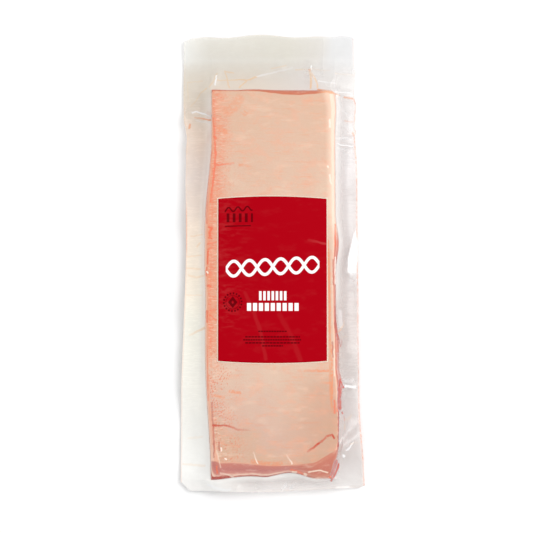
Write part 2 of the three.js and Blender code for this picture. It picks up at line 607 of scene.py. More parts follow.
class Wire:
    """A shader socket whose arithmetic adds Math nodes."""

    def __init__(self, graph: "Graph", socket: bpy.types.NodeSocket) -> None:
        """Wrap an output socket of a graph."""
        self.graph = graph
        self.socket = socket

    def __add__(self, other: "Value") -> "Wire":
        """Return the sum."""
        return self.graph.math("ADD", self, other)

    def __sub__(self, other: "Value") -> "Wire":
        """Return the difference."""
        return self.graph.math("SUBTRACT", self, other)

    def __rsub__(self, other: "Value") -> "Wire":
        """Return the difference from a number on the left."""
        return self.graph.math("SUBTRACT", other, self)

    def __mul__(self, other: "Value") -> "Wire":
        """Return the product."""
        return self.graph.math("MULTIPLY", self, other)

    def __truediv__(self, other: "Value") -> "Wire":
        """Return the quotient."""
        return self.graph.math("DIVIDE", self, other)

    def __rtruediv__(self, other: "Value") -> "Wire":
        """Return the quotient of a number on the left."""
        return self.graph.math("DIVIDE", other, self)

    def __pow__(self, other: "Value") -> "Wire":
        """Return the power."""
        return self.graph.math("POWER", self, other)

    def __abs__(self) -> "Wire":
        """Return the value without its sign."""
        return self.graph.math("ABSOLUTE", self)

    __radd__ = __add__
    __rmul__ = __mul__


Value = Wire | float


@dataclass(frozen=True)
class Stroke:
    """A soft line through points on the pack, in millimetres.

    It has a half-width, and its strength changes evenly from its first point to its last. Its core, a share
    of its half-width, is as strong all over.
    """

    points: tuple[Point, ...]
    width: float
    start: float = 1.0
    end: float | None = None
    core: float = 0.3

    def strength(self, number: int) -> float:
        """Return the strength at one of the points."""
        end = self.start if self.end is None else self.end
        return self.start + (end - self.start) * number / (len(self.points) - 1)


@dataclass(frozen=True)
class Clouds:
    """Cloudy noise that is cut off softly between two levels.

    It has the size of its clouds along X, Y and Z, the number of its finer layers, and their strength.
    """

    size: Triple
    low: float
    high: float
    detail: float = 3.0
    rough: float = 0.6


@dataclass(frozen=True)
class Tint:
    """A colour that shows in clouds, and the share of what is under it that they hide."""

    colour: Colour
    clouds: Clouds
    share: float


@dataclass(frozen=True)
class Zone:
    """A part of the pack with soft borders: where it begins and is full, across the pack and along it."""

    across: Point
    along: Point


class Graph:
    """A material's node tree, built by method calls."""

    def __init__(self, name: str) -> None:
        """Start an empty material.

        Args:
            name: Its name.
        """
        self.material = bpy.data.materials.new(name)
        self.material.use_nodes = True
        self.tree = self.material.node_tree
        self.tree.nodes.clear()

    def node(self, kind: str, settings: dict | None = None, sockets: dict | None = None) -> bpy.types.Node:
        """Add a node.

        Args:
            kind: Blender's name of the node type.
            settings: Its settings; the key "stops" holds a ramp's positions and colours.
            sockets: Values or wires for its inputs, by name or number.

        Returns:
            The new node.
        """
        node = self.tree.nodes.new(kind)
        for name, setting in (settings or {}).items():
            if name == "stops":
                self.set_stops(node.color_ramp, setting)
            else:
                setattr(node, name, setting)
        for key, value in (sockets or {}).items():
            if isinstance(value, Wire):
                self.tree.links.new(value.socket, node.inputs[key])
            else:
                node.inputs[key].default_value = value
        return node

    @staticmethod
    def set_stops(ramp: bpy.types.ColorRamp, stops: Stops) -> None:
        """Set a ramp's stops.

        Args:
            ramp: The ramp.
            stops: Position and colour of each stop, in rising order.
        """
        while len(ramp.elements) < len(stops):
            ramp.elements.new(1.0)
        for element, (position, colour) in zip(ramp.elements, stops):
            element.position = position
            element.color = colour

    def wire(self, node: bpy.types.Node, output: str | int = 0) -> Wire:
        """Return one output of a node."""
        return Wire(self, node.outputs[output])

    def math(self, operation: str, *values: Value) -> Wire:
        """Return the result of a Math node."""
        return self.wire(self.node("ShaderNodeMath", {"operation": operation}, dict(enumerate(values))))

    def greatest(self, first: Value, *others: Value) -> Wire:
        """Compare several values.

        Args:
            first: The first value.
            *others: The other values.

        Returns:
            The greatest of them.
        """
        for other in others:
            first = self.math("MAXIMUM", first, other)
        return first

    def blend(self, share: Value, first: Value, second: Value) -> Wire:
        """Return the value at a share of the way from the first to the second."""
        return first + (second - first) * share

    def vector(self, operation: str, *values: Wire | Sequence[float], output: str = "Vector") -> Wire:
        """Return one output of a Vector Math node."""
        node = self.node("ShaderNodeVectorMath", {"operation": operation}, dict(enumerate(values)))
        return self.wire(node, output)

    def scale(self, vector: Wire | Sequence[float], factor: Value) -> Wire:
        """Return a vector made longer or shorter."""
        sockets = {0: vector, "Scale": factor}
        return self.wire(self.node("ShaderNodeVectorMath", {"operation": "SCALE"}, sockets))

    def mix(self, share: Value, first: Wire | Colour, second: Wire | Colour) -> Wire:
        """Return the colour at a share of the way from the first to the second."""
        settings = {"data_type": "RGBA", "clamp_factor": True}
        return self.wire(self.node("ShaderNodeMix", settings, {0: share, 6: first, 7: second}), 2)

    def coats(self, colour: Wire | Colour, *coats: tuple[Value, Wire | Colour]) -> Wire:
        """Lay coats over a colour in turn.

        Args:
            colour: The colour under all coats.
            *coats: How much each coat hides, and its colour.

        Returns:
            The colour that shows.
        """
        for share, coat in coats:
            colour = self.mix(share, colour, coat)
        return colour

    def ramp(self, share: Wire, stops: Stops) -> tuple[Wire, Wire]:
        """Return the colour and the opacity of a ramp at a share of its length."""
        node = self.node("ShaderNodeValToRGB", {"stops": stops}, {0: share})
        return self.wire(node, "Color"), self.wire(node, "Alpha")

    def placed_ramp(self, at: Wire, stops: Stops, reach: float) -> tuple[Wire, Wire]:
        """Return the colour and the opacity of stops at places from minus the reach to the reach."""
        shares = [((place + reach) / (2.0 * reach), colour) for place, colour in stops]
        return self.ramp((at + reach) / (2.0 * reach), shares)

    def smooth(self, value: Value, low: float, high: float, start: float = 0.0, end: float = 1.0) -> Wire:
        """Return a soft step.

        Args:
            value: The value that drives the step.
            low: Where the step begins.
            high: Where the step ends; it may lie below its beginning.
            start: The result before the step.
            end: The result after the step.

        Returns:
            The stepped value.
        """
        settings = {"interpolation_type": "SMOOTHSTEP", "clamp": False}
        node = self.node("ShaderNodeMapRange", settings, {0: value})
        for key, number in enumerate((low, high, start, end), 1):
            node.inputs[key].default_value = number
        return self.wire(node)

    def band(self, value: Value, low: float, high: float, soft: float) -> Wire:
        """Return 1 between two values, with soft ends."""
        rise = self.smooth(value, low - soft, low + soft)
        return rise * self.smooth(value, high + soft, high - soft)

    def place(self) -> Wire:
        """Return the place on the object in millimetres."""
        return self.scale(self.wire(self.node("ShaderNodeTexCoord"), "Object"), 1.0 / MM)

    def attribute(self, name: str) -> Wire:
        """Return a vector stored at the vertices."""
        return self.wire(self.node("ShaderNodeAttribute", {"attribute_name": name}), "Vector")

    def split(self, vector: Wire) -> tuple[Wire, Wire, Wire]:
        """Return the three parts of a vector."""
        node = self.node("ShaderNodeSeparateXYZ", None, {0: vector})
        return self.wire(node, 0), self.wire(node, 1), self.wire(node, 2)

    def noise(self, place: Wire, size: Triple, detail: float = 3.0, rough: float = 0.5) -> Wire:
        """Return cloudy noise from 0 to 1.

        Args:
            place: Where it is read, in millimetres.
            size: Size of its clouds along X, Y and Z.
            detail: Number of finer layers.
            rough: How strong the finer layers are.

        Returns:
            The noise.
        """
        sockets = {"Vector": self.vector("DIVIDE", place, size), "Scale": 1.0}
        sockets |= {"Detail": detail, "Roughness": rough}
        return self.wire(self.node("ShaderNodeTexNoise", None, sockets))

    def clouds(self, place: Wire, clouds: Clouds) -> Wire:
        """Return 1 in the clouds and 0 between them."""
        noise = self.noise(place, clouds.size, clouds.detail, clouds.rough)
        return self.smooth(noise, clouds.low, clouds.high)

    def tinted(self, colour: Wire | Colour, place: Wire, tints: Sequence[Tint]) -> Wire:
        """Return a colour with tints laid over it in turn."""
        coats = ((self.clouds(place, tint.clouds) * tint.share, tint.colour) for tint in tints)
        return self.coats(colour, *coats)

    def zone(self, x: Wire, y: Wire, zone: Zone) -> Wire:
        """Return 1 inside a zone and 0 outside it."""
        return self.smooth(x, *zone.across) * self.smooth(y, *zone.along)

    def pores(self, place: Wire, size: Triple) -> Wire:
        """Return the distance to the nearest of many scattered dots."""
        sockets = {"Vector": self.vector("DIVIDE", place, size), "Scale": 1.0, "Randomness": 0.85}
        return self.wire(self.node("ShaderNodeTexVoronoi", None, sockets), "Distance")

    def wavering(self, place: Wire, size: float, amount: float) -> Wire:
        """Flatten places onto the table and move them about, so that lines drawn on them waver.

        Args:
            place: The place in millimetres.
            size: Length over which the lines waver.
            amount: How far they move.

        Returns:
            The moved place.
        """
        scaled = self.vector("DIVIDE", place, (size, size, size))
        clouds = self.node("ShaderNodeTexNoise", None, {"Vector": scaled, "Scale": 1.0, "Detail": 2.0})
        centred = self.vector("SUBTRACT", self.wire(clouds, "Color"), (0.5, 0.5, 0.5))
        moved = self.vector("MULTIPLY_ADD", centred, (2.0 * amount, 2.0 * amount, 0.0), place)
        return self.vector("MULTIPLY", moved, (1.0, 1.0, 0.0))

    def strokes(self, place: Wire, strokes: Sequence[Stroke]) -> Wire:
        """Return how strongly a place lies on any of several strokes.

        Args:
            place: A place flattened onto the table.
            strokes: The strokes.

        Returns:
            The strength, from 0 off all strokes.
        """
        total: Value = 0.0
        for stroke in strokes:
            for number, (start, end) in enumerate(zip(stroke.points, stroke.points[1:])):
                first, last = stroke.strength(number), stroke.strength(number + 1)
                run = (end[0] - start[0], end[1] - start[1], 0.0)
                length = run[0] ** 2 + run[1] ** 2
                offset = self.vector("SUBTRACT", place, (start[0], start[1], 0.0))
                along = self.vector("DOT_PRODUCT", offset, run, output="Value") * (1.0 / length)
                share = self.math("MINIMUM", self.greatest(along, 0.0), 1.0)
                nearest = self.scale(run, share)
                distance = self.vector("DISTANCE", offset, nearest, output="Value")
                mask = self.smooth(distance, stroke.width, stroke.width * stroke.core)
                total = self.greatest(total, mask * (share * (last - first) + first))
        return total

    def bump(self, height: Wire, strength: float = 1.0) -> Wire:
        """Return normals that follow a height in millimetres."""
        sockets = {"Height": height, "Distance": MM, "Strength": strength}
        return self.wire(self.node("ShaderNodeBump", None, sockets))

    def finish(self, varied: dict[str, Wire], even: dict[str, float | Colour]) -> bpy.types.Material:
        """Add the surface shader.

        Args:
            varied: Wires for the sockets that change over the surface.
            even: Values for the sockets that don't.

        Returns:
            The finished material.
        """
        shader = self.node("ShaderNodeBsdfPrincipled", None, {**even, **varied})
        self.node("ShaderNodeOutputMaterial", None, {"Surface": self.wire(shader)})
        return self.material


# ---- The belly ----


@dataclass(frozen=True)
class BellyFinish:
    """Raw pork belly: pale rind with stains, pores and slits, and cut sides in layers of fat and lean."""

    roughness: float = 0.42
    coat: float = 0.35
    coat_roughness: float = 0.16
    soak: float = 0.1
    rind_reach: float = 260.0
    rind_drift: float = 156.0
    rind: Stops = (
        (-236, srgb(205, 170, 145)),
        (-196, srgb(208, 174, 156)),
        (-126, srgb(216, 188, 167)),
        (30, srgb(219, 192, 170)),
        (110, srgb(214, 181, 158)),
        (202, srgb(212, 177, 152)),
    )
    end_cut: Stops = (
        (0.0, srgb(222, 180, 158)),
        (0.14, srgb(184, 88, 74)),
        (0.24, srgb(190, 104, 88)),
        (0.32, srgb(236, 206, 186)),
        (0.42, srgb(226, 178, 158)),
        (0.5, srgb(204, 134, 122)),
        (0.72, srgb(190, 117, 108)),
        (0.93, srgb(198, 124, 108)),
        (0.975, srgb(222, 170, 144)),
    )
    right_cut: Stops = (
        (0.0, srgb(206, 138, 120)),
        (0.18, srgb(186, 94, 80)),
        (0.34, srgb(224, 174, 154)),
        (0.44, srgb(196, 112, 98)),
        (0.72, srgb(190, 104, 92)),
        (0.86, srgb(216, 148, 130)),
        (0.94, srgb(196, 112, 98)),
        (0.985, srgb(240, 202, 174)),
    )
    left_cut: Stops = (
        (0.0, srgb(226, 150, 126)),
        (0.12, srgb(222, 142, 114)),
        (0.28, srgb(238, 190, 164)),
        (0.46, srgb(226, 162, 140)),
        (0.62, srgb(238, 194, 172)),
        (0.975, srgb(232, 156, 122)),
    )
    top_cut: Stops = (
        (0.0, srgb(190, 104, 76)),
        (0.3, srgb(176, 82, 60)),
        (0.45, srgb(222, 162, 136)),
        (0.6, srgb(182, 90, 68)),
        (0.93, srgb(196, 112, 82)),
    )
    fat: Colour = srgb(238, 214, 194)
    blush: Colour = srgb(224, 142, 108)
    slit: Colour = srgb(196, 70, 42)
    stain: Colour = srgb(228, 138, 96)
    dab: Colour = srgb(230, 112, 78)
    pore: Colour = srgb(216, 112, 82)
    painted_glint: Colour = srgb(255, 244, 232)
    blood: Colour = srgb(172, 58, 46)
    tan: Colour = srgb(196, 152, 124)
    pale_streak: Colour = srgb(244, 208, 184)
    orange: Colour = srgb(224, 138, 90)
    # Cream band along the right shoulder: partly fat, partly painted sheen of the film on the lit shoulder.
    fat_and_sheen_edge: Colour = srgb(244, 214, 192)
    fat_and_sheen_zone: Zone = Zone((6.5, -1.0), (20.0, 60.0))
    rosy: Colour = srgb(222, 150, 128)
    low_side: Colour = srgb(230, 182, 158)
    peach: Colour = srgb(238, 184, 146)
    end_right: Colour = srgb(194, 114, 92)
    under_lean: Colour = srgb(190, 98, 86)
    under_fat: Colour = srgb(236, 202, 184)
    tan_zone: Zone = Zone((-10.0, 60.0), (-112.0, -156.0))
    blotches: Tint = Tint(srgb(230, 166, 136), Clouds((16.0, 11.0, 16.0), 0.46, 0.68, 5.0, 0.66), 0.42)
    pale_patches: Tint = Tint(srgb(236, 204, 180), Clouds((24.0, 9.0, 20.0), 0.5, 0.75, 4.0), 0.34)
    speckle: Tint = Tint(srgb(206, 146, 118), Clouds((2.6, 1.9, 2.6), 0.3, 0.7, 4.0, 0.7), 0.14)
    streaks: Clouds = Clouds((5.6, 1.5, 6.0), 0.52, 0.6)
    wide_streaks: Clouds = Clouds((26.0, 2.2, 20.0), 0.55, 0.68, 4.0)
    pale_streaks: Clouds = Clouds((9.0, 1.4, 5.0), 0.55, 0.63)
    spots: Clouds = Clouds((9.0, 7.0, 9.0), 0.36, 0.6)
    pore_size: Triple = (1.8, 3.4, 1.9)
    pore_turn: float = 0.62
    pore_patches: Clouds = Clouds((15.0, 15.0, 15.0), 0.34, 0.58, 2.0, 0.5)
    seep_patches: Clouds = Clouds((8.0, 14.0, 8.0), 0.36, 0.56)
    marbling: Clouds = Clouds((14.0, 14.0, 2.6), 0.54, 0.66, 4.0)
    under_patches: Clouds = Clouds((60.0, 16.0, 10.0), 0.42, 0.6, 4.0)
    breaks: Clouds = Clouds((4.0, 3.0, 4.0), 0.3, 0.5)
    rind_swirls: Triple = (46.0, 60.0, 40.0)
    layer_swirls: Triple = (24.0, 24.0, 200.0)
    fine_swirls: Triple = (5.0, 5.0, 3.0)
    slits: tuple[Stroke, ...] = (
        Stroke(((-70, -194), (-54, -194.5), (-41, -199), (-27, -200)), 1.7, 0.9, 0.15),
        Stroke(((72, -209), (69.5, -205.5), (64, -207)), 1.9, 1.0, 0.7),
        Stroke(((64, -207), (58.5, -212), (54, -215.5)), 1.9, 0.55, 0.7),
        Stroke(((54, -215.5), (47, -220.5), (41, -224.5)), 1.9, 1.0, 0.4),
    )
    stains: tuple[Stroke, ...] = (
        Stroke(((-39, 114), (-21, 111.5)), 2.4, 0.5, 0.1),
        Stroke(((65, -130), (30, -130)), 2.2, 0.8, 0.2),
        Stroke(((70, -144.5), (58, -143.5)), 2.0, 0.6, 0.2),
        Stroke(((-39, -156), (-50.5, -154)), 2.4, 0.6),
        Stroke(((-68.5, -159), (-57.5, -161.5)), 2.2, 0.5),
        Stroke(((-60, -215.5), (-41, -218.5)), 1.4, 0.35, 0.1),
        Stroke(((-23.5, -236.5), (-8, -239), (9.5, -239.5)), 4.0, 0.55),
        Stroke(((-63.5, 158.5), (-56.5, 153.5)), 4.4, 0.55),
        Stroke(((-75.5, -18), (-60, -27)), 4.0, 0.4, 0.1),
        Stroke(((-79, -65), (-69.5, -60.5)), 4.0, 0.4),
        Stroke(((-53, 178), (-44, 186), (-40, 192)), 9.0, 0.35),
        Stroke(((-34, 178), (-30, 176), (-33, 173), (-37, 176)), 1.6, 0.35),
        Stroke(((65.5, 23.5), (65.5, -1.5), (67, -46.5), (67, -94)), 1.7, 0.8, 0.6),
        Stroke(((69.5, -100), (70, -162.5)), 1.6, 0.7, 0.8),
    )
    seeps: tuple[Stroke, ...] = (
        Stroke(((-71, 170.5), (-69, 147), (-68, 127), (-68.5, 113.5)), 1.5, 0.5, 0.8),
        Stroke(((-68.5, 113.5), (-71, 92), (-72.5, 81.5), (-74, 69.5)), 1.5, 0.8, 0.6),
        Stroke(((-72.5, 130), (-74.5, 118), (-76, 105), (-77.5, 83.5)), 1.3, 0.5, 0.6),
        Stroke(((-77.5, 83.5), (-78.5, 62), (-78.5, 44.5)), 1.3, 0.6),
        Stroke(((-69, 148), (-68, 145.5)), 2.2, 0.8),
        Stroke(((-68, 130), (-67.5, 126.5)), 2.2, 0.8),
        Stroke(((-67, 114), (-59, 114.5), (-46.5, 116)), 1.6, 0.8, 0.3),
        Stroke(((-75.5, 40), (-72, 38)), 2.0, 1.0),
        Stroke(((-73, 37), (-75, 33.5), (-74.5, 29.5)), 2.0, 0.9),
        Stroke(((-75.5, 27.5), (-72, 26.5)), 1.6, 0.8),
        Stroke(((-77, 20), (-72, 21), (-66, 22.5)), 1.5, 0.7, 0.4),
        Stroke(((-77, 14), (-73, 15.5), (-67, 16)), 1.4, 0.7, 0.3),
        Stroke(((-77, 11.5), (-77, -3.5)), 1.7, 0.95),
        Stroke(((-78.5, -8), (-79, -11.5), (-78.5, -17.5)), 1.4, 0.8),
        Stroke(((-77, -29.5), (-74, -30.5)), 2.0, 0.9),
        Stroke(((-78, -59.5), (-77.5, -72.5)), 1.6, 0.9),
        Stroke(((-74.5, -64), (-66, -71)), 1.6, 0.6),
        Stroke(((-73.5, -59), (-66, -57.5)), 1.4, 0.5),
        Stroke(((-77.5, -99.5), (-77, -132), (-76.5, -165)), 1.1, 0.6),
        Stroke(((74, 43), (74, 17)), 1.2, 0.7),
        Stroke(((77.5, 24), (78, 6.5)), 1.2, 0.5),
        Stroke(((72.5, -165), (73, -179.5)), 1.7, 0.7),
        Stroke(((77, -170), (76, -177)), 2.2, 0.6),
        Stroke(((70, -252), (67, -256)), 1.8, 0.9),
        Stroke(((-66, -242.5), (-65.5, -250.5)), 1.4, 0.8),
        Stroke(((22, -246.5), (31, -249), (38, -253.5)), 2.2, 0.7),
        Stroke(((45, -257.5), (56, -258), (67, -257)), 1.4, 0.6),
    )
    # Painted highlights: small white glints where the tight film catches the light on the rind.
    painted_glints: tuple[Stroke, ...] = (
        Stroke(((-22.5, -226), (-20.5, -233), (-17.5, -238.5)), 1.2, 0.2, 0.7),
        Stroke(((16, -228.5), (20, -234.5), (22.5, -239)), 1.2, 0.15, 0.55),
        Stroke(((-61, -221), (-60.5, -224.5)), 1.3, 0.7),
        Stroke(((-56, -233), (-54.5, -233.5)), 1.4, 0.8),
        Stroke(((68, 168), (68, 159.5)), 1.8, 0.6),
        Stroke(((65, 112.5), (65.5, 111.5)), 1.6, 0.6),
        Stroke(((67.5, 102.5), (69, 92)), 1.6, 0.5),
        Stroke(((-78, -13), (-77, -14)), 1.5, 0.9),
        Stroke(((74, 4.5), (74, -27.5)), 1.1, 0.8),
    )
    bloods: tuple[Stroke, ...] = (
        Stroke(((-70.5, -257.5), (-60.5, -255.5), (-49.5, -254.5)), 3.4, 1.0, 0.6),
        Stroke(((-33, -256), (-17.5, -256.5), (-4.5, -255)), 1.6, 0.8, 0.8),
        Stroke(((78, -235), (77.5, -238), (74.5, -243.5), (71.5, -250.5)), 1.9, 1.0, 0.9),
        Stroke(((-69.5, -212.5), (-69.5, -231.5)), 1.6, 0.6),
        Stroke(((-63.5, -214), (-63, -223.5)), 1.4, 0.5),
        Stroke(((-72, -167.5), (-70.5, -195), (-69, -221)), 1.6, 0.4, 0.5),
        Stroke(((71, 1.5), (71.5, -28)), 1.3, 0.5),
        Stroke(((75.5, 4), (75.5, -18.5)), 1.1, 0.7),
        Stroke(((74, -54.5), (74.5, -77)), 1.5, 0.85),
        Stroke(((73.5, -73.5), (74.5, -79.5), (76, -86)), 2.0, 0.5, 0.8),
        Stroke(((70.5, -96), (71, -114)), 1.3, 0.5),
        Stroke(((77.5, -178), (77.5, -208), (77, -216)), 1.5, 0.75, 0.9),
        Stroke(((77, -216), (77, -218.5)), 2.0, 1.0),
        Stroke(((77, -221), (77.5, -231.5)), 1.3, 0.55),
    )
    creams: tuple[Stroke, ...] = (
        Stroke(((-66, -223.5), (-64, -234)), 1.2, 0.55),
        Stroke(((-70.5, -217.5), (-70.5, -234)), 1.1, 0.45),
        Stroke(((-64.5, -230.5), (-61.5, -243.5)), 1.2, 0.5),
        Stroke(((-61.5, -250.5), (-52, -252.5), (-46, -255.5)), 1.5, 0.55, 0.7),
        Stroke(((42.5, -249), (55, -247), (64.5, -249.5)), 1.4, 0.9),
        Stroke(((23.5, -249), (27.5, -249)), 1.8, 0.9),
        Stroke(((37.5, -251.5), (39.5, -252.5)), 1.8, 0.85),
        Stroke(((45, -256.5), (56, -257), (66, -256.5)), 1.5, 0.6),
        Stroke(((72.5, -105.5), (72.5, -135.5)), 1.2, 0.7),
    )

    def mottle(self, graph: Graph, place: Wire) -> Wire:
        """Colour the rind broadly: a slow change along the slab, warm blotches and pale patches.

        Args:
            graph: The material's nodes.
            place: Place in millimetres.

        Returns:
            The rind's colour without its marks.
        """
        x, y, _ = graph.split(place)
        drift = (graph.noise(place, self.rind_swirls) - 0.5) * self.rind_drift
        broad, _ = graph.placed_ramp(y + drift, self.rind, self.rind_reach)
        broad = graph.mix(graph.zone(x, y, self.tan_zone) * 0.6, broad, self.tan)
        return graph.tinted(broad, place, (self.blotches, self.pale_patches, self.speckle))

    def pore_dots(self, graph: Graph, place: Wire, left: Wire, y: Wire) -> Wire:
        """Make the rind's pores, which show in patches near the left edge and lower down.

        Args:
            graph: The material's nodes.
            place: Place in millimetres.
            left: Distance in from the slab's left shoulder.
            y: Place along the slab.

        Returns:
            1 on the pores.
        """
        sockets = {0: place, "Rotation": (0.0, 0.0, self.pore_turn)}
        turned = graph.wire(graph.node("ShaderNodeMapping", {"vector_type": "POINT"}, sockets))
        dots = graph.smooth(graph.pores(turned, self.pore_size), 0.44, 0.22)
        lower = graph.smooth(left, 46.0, 6.0) * graph.smooth(y, -124.0, -84.0, 1.0, 0.45)
        return dots * lower * graph.clouds(place, self.pore_patches)

    def skin(self, graph: Graph, place: Wire, left: Wire, right: Wire) -> Wire:
        """Colour the rind.

        Args:
            graph: The material's nodes.
            place: Place in millimetres.
            left: Distance in from the slab's left shoulder.
            right: Distance in from the slab's right shoulder.

        Returns:
            The rind's colour.
        """
        _, y, _ = graph.split(place)
        near_left = graph.smooth(left, 24.0, 0.0)
        middle = graph.smooth(y, -136.0, -96.0) * graph.smooth(y, 60.0, 150.0, 1.0, 0.6)
        low_left = graph.smooth(y, -130.0, -96.0)
        streak = graph.clouds(place, self.streaks) * graph.smooth(left, 26.0, 4.0)
        line = graph.band(left, -0.4, 2.0, 0.8) * graph.smooth(y, -150.0, -100.0, 0.5, 1.0)
        seep = graph.band(right, 1.0, 3.6, 1.2) * graph.smooth(y, 26.0, 4.0) * graph.smooth(y, -186.0, -170.0)
        seep = seep * (0.2 + graph.clouds(place, self.seep_patches) * 0.4)
        return graph.coats(
            self.mottle(graph, place),
            (near_left * (middle * 0.62 + low_left * 0.1), self.blush),
            (graph.clouds(place, self.wide_streaks) * 0.22, self.stain),
            (graph.clouds(place, self.pale_streaks) * near_left * 0.6, self.pale_streak),
            (streak * (middle * 0.4 + 0.1), self.dab),
            (line * graph.clouds(place, self.spots) * 0.35, self.dab),
            (self.pore_dots(graph, place, left, y) * 0.7, self.pore),
            (seep, self.orange),
            # Right shoulder band: partly fat, partly painted sheen where the film lifts off the lit shoulder.
            (graph.zone(right, y, self.fat_and_sheen_zone) * 0.52, self.fat_and_sheen_edge),
        )

    def right_side(self, graph: Graph, y: Wire, share: Wire, sway: Wire) -> Wire:
        """Colour the right cut side, lean in its lower part and fat in its upper one.

        Args:
            graph: The material's nodes.
            y: Place along the slab.
            share: How far up the layers a place is.
            sway: Slow noise that moves the border between both parts.

        Returns:
            The side's colour.
        """
        lean, _ = graph.ramp(share, self.right_cut)
        pale = graph.mix(graph.smooth(share, 0.1, 0.4), self.right_cut[0][1], self.fat)
        rosy = graph.smooth(share, 0.45, 0.6) * graph.smooth(share, 0.84, 0.7)
        pale = graph.mix(rosy * 0.6, pale, self.rosy)
        return graph.mix(graph.smooth(y + sway * 60.0, 22.0, 44.0), lean, pale)

    def cut(self, graph: Graph, place: Wire, inset: Wire, level: Wire) -> Wire:
        """Colour the cut sides and the underside in layers.

        Args:
            graph: The material's nodes.
            place: Place in millimetres.
            inset: Distances in from the left, right and bottom shoulders.
            level: Distance in from the top shoulder, how far up the side, and which wall.

        Returns:
            The colour of the cut meat.
        """
        _, right, bottom = graph.split(inset)
        top, up, wall = graph.split(level)
        x, y, _ = graph.split(place)
        sway = (graph.noise(place, self.layer_swirls, 2.0) - 0.5) * 0.36
        fine = (graph.noise(place, self.fine_swirls) - 0.5) * 0.12
        share = up + (sway + fine) * graph.smooth(up, 1.0, 0.7)
        left_side, _ = graph.ramp(share, self.left_cut)
        top_side, _ = graph.ramp(share, self.top_cut)
        top_side = graph.mix(graph.smooth(x, 50.0, 66.0) * 0.8, top_side, self.peach)
        end, _ = graph.ramp(share + graph.smooth(x, 0.0, 40.0) * 0.04, self.end_cut)
        end = graph.mix(graph.smooth(x, 6.0, 50.0) * 0.82, end, self.end_right)
        under = graph.mix(graph.clouds(place, self.under_patches), self.under_lean, self.under_fat)
        return graph.coats(
            left_side,
            (graph.smooth(y, -84.0, -126.0) * 0.55, self.low_side),
            (graph.smooth(right, 1.4, -0.6), self.right_side(graph, y, share, sway)),
            (graph.smooth(top, 0.6, -0.6), top_side),
            (graph.smooth(bottom, 0.4, -1.6), end),
            (graph.clouds(place, self.marbling) * 0.24, self.fat),
            (graph.smooth(wall, 0.5, 0.2) * graph.smooth(up, 0.2, 0.9), under),
        )

    def material(self) -> bpy.types.Material:
        """Lay the rind over the cut sides, and the marks over both.

        Returns:
            The belly's material.
        """
        graph = Graph("raw_pork_belly")
        place = graph.place()
        inset = graph.attribute("inset")
        level = graph.attribute("level")
        left, right, _ = graph.split(inset)
        _, up, wall = graph.split(level)
        above = graph.smooth(wall, 0.4, 0.6)
        edge = up + (graph.noise(place, (9.0, 9.0, 9.0), 2.0) - 0.5) * 0.02
        on_skin = graph.smooth(edge, 0.978, 0.992) * above
        flat = graph.wavering(place, 5.0, 1.2)
        slit = graph.strokes(flat, self.slits)
        breaks = graph.clouds(place, self.breaks)
        colour = graph.coats(
            self.cut(graph, place, inset, level),
            (on_skin, self.skin(graph, place, left, right)),
            (graph.strokes(flat, self.stains) * above * breaks, self.stain),
            (graph.strokes(flat, self.seeps) * above, self.dab),
            (graph.strokes(flat, self.bloods) * above, self.blood),
            (graph.strokes(flat, self.creams) * above, self.fat),
            (slit * above * (breaks * 0.5 + 0.5), self.slit),
            # Painted highlights: white glints laid over the rind.
            (graph.strokes(flat, self.painted_glints) * above, self.painted_glint),
        )
        rough = self.roughness + (graph.noise(place, (12.0, 12.0, 12.0)) - 0.5) * 0.2
        grain = graph.noise(place, (2.2, 1.6, 1.6)) * 0.14
        swell = graph.noise(place, (24.0, 15.0, 15.0)) * 0.9
        return graph.finish(
            {"Base Color": colour, "Roughness": rough, "Normal": graph.bump(grain + swell - slit * 0.7, 0.7)},
            {
                "IOR": 1.42,
                "Specular IOR Level": 0.25,
                "Coat Weight": self.coat,
                "Coat IOR": 1.35,
                "Coat Roughness": self.coat_roughness,
                "Subsurface Weight": self.soak,
                "Subsurface Radius": (1.0, 0.45, 0.28),
                "Subsurface Scale": 0.004,
            },
        )


@dataclass(frozen=True)
class Belly:
    """The slab of pork belly inside the bag."""

    form: PackForm
    gap: float = 0.2
    underside: float = 0.6
    columns: Cells = Cells(0, 14, 96, 14, 0)
    rows: Cells = Cells(0, 22, 236, 12, 0)
    finish: BellyFinish = BellyFinish()

    def build(self) -> bpy.types.Object:
        """Make the slab just inside the film, closed all round, and dress it.

        Returns:
            The slab.
        """
        form = self.form
        across = form.across.inset(self.gap)
        along = form.along.inset(self.gap)
        piece, spread = envelope("belly", across, along, self.columns, self.rows)
        x, y, up = spread.x, spread.y, spread.up
        roof = lerp(form.seam_height, form.skin_height(x, y) - self.gap, up)
        base = lerp(form.seam_height, self.underside, up)
        write_points(piece.data, x, y, np.where(spread.upper, roof, base))
        left, right = x - across.shoulder_low.at(y), across.shoulder_high.at(y) - x
        bottom, top = y - along.shoulder_low.at(x), along.shoulder_high.at(x) - y
        write_vectors(piece.data, "inset", left, right, bottom)
        write_vectors(piece.data, "level", top, up, spread.upper)
        weld(piece)
        hand_over(piece, self.finish.material(), "pork_belly")
        return piece


# ---- The bag ----


def veil(
    red: int, green: int, blue: int, opacity: float, table: float = 0.5, light: float = 1.1
) -> Colour:
    """Work out the film's own colour from how two layers of it look on a pale table.

    Args:
        red: Red of the look, 0 to 255.
        green: Green of the look, 0 to 255.
        blue: Blue of the look, 0 to 255.
        opacity: How much of the table the two layers hide.
        table: How bright the table is under the film.
        light: How brightly the film is lit, beside the slab or away from it; a lower value paints the film
            brighter to offset shade.

    Returns:
        The film's colour, with the opacity of one layer as its alpha.
    """
    own = [(part - (1.0 - opacity) * table) / (opacity * light) for part in srgb(red, green, blue)[:3]]
    red_part, green_part, blue_part = (min(max(part, 0.02), 0.97) for part in own)
    return (red_part, green_part, blue_part, 1.0 - math.sqrt(1.0 - opacity))


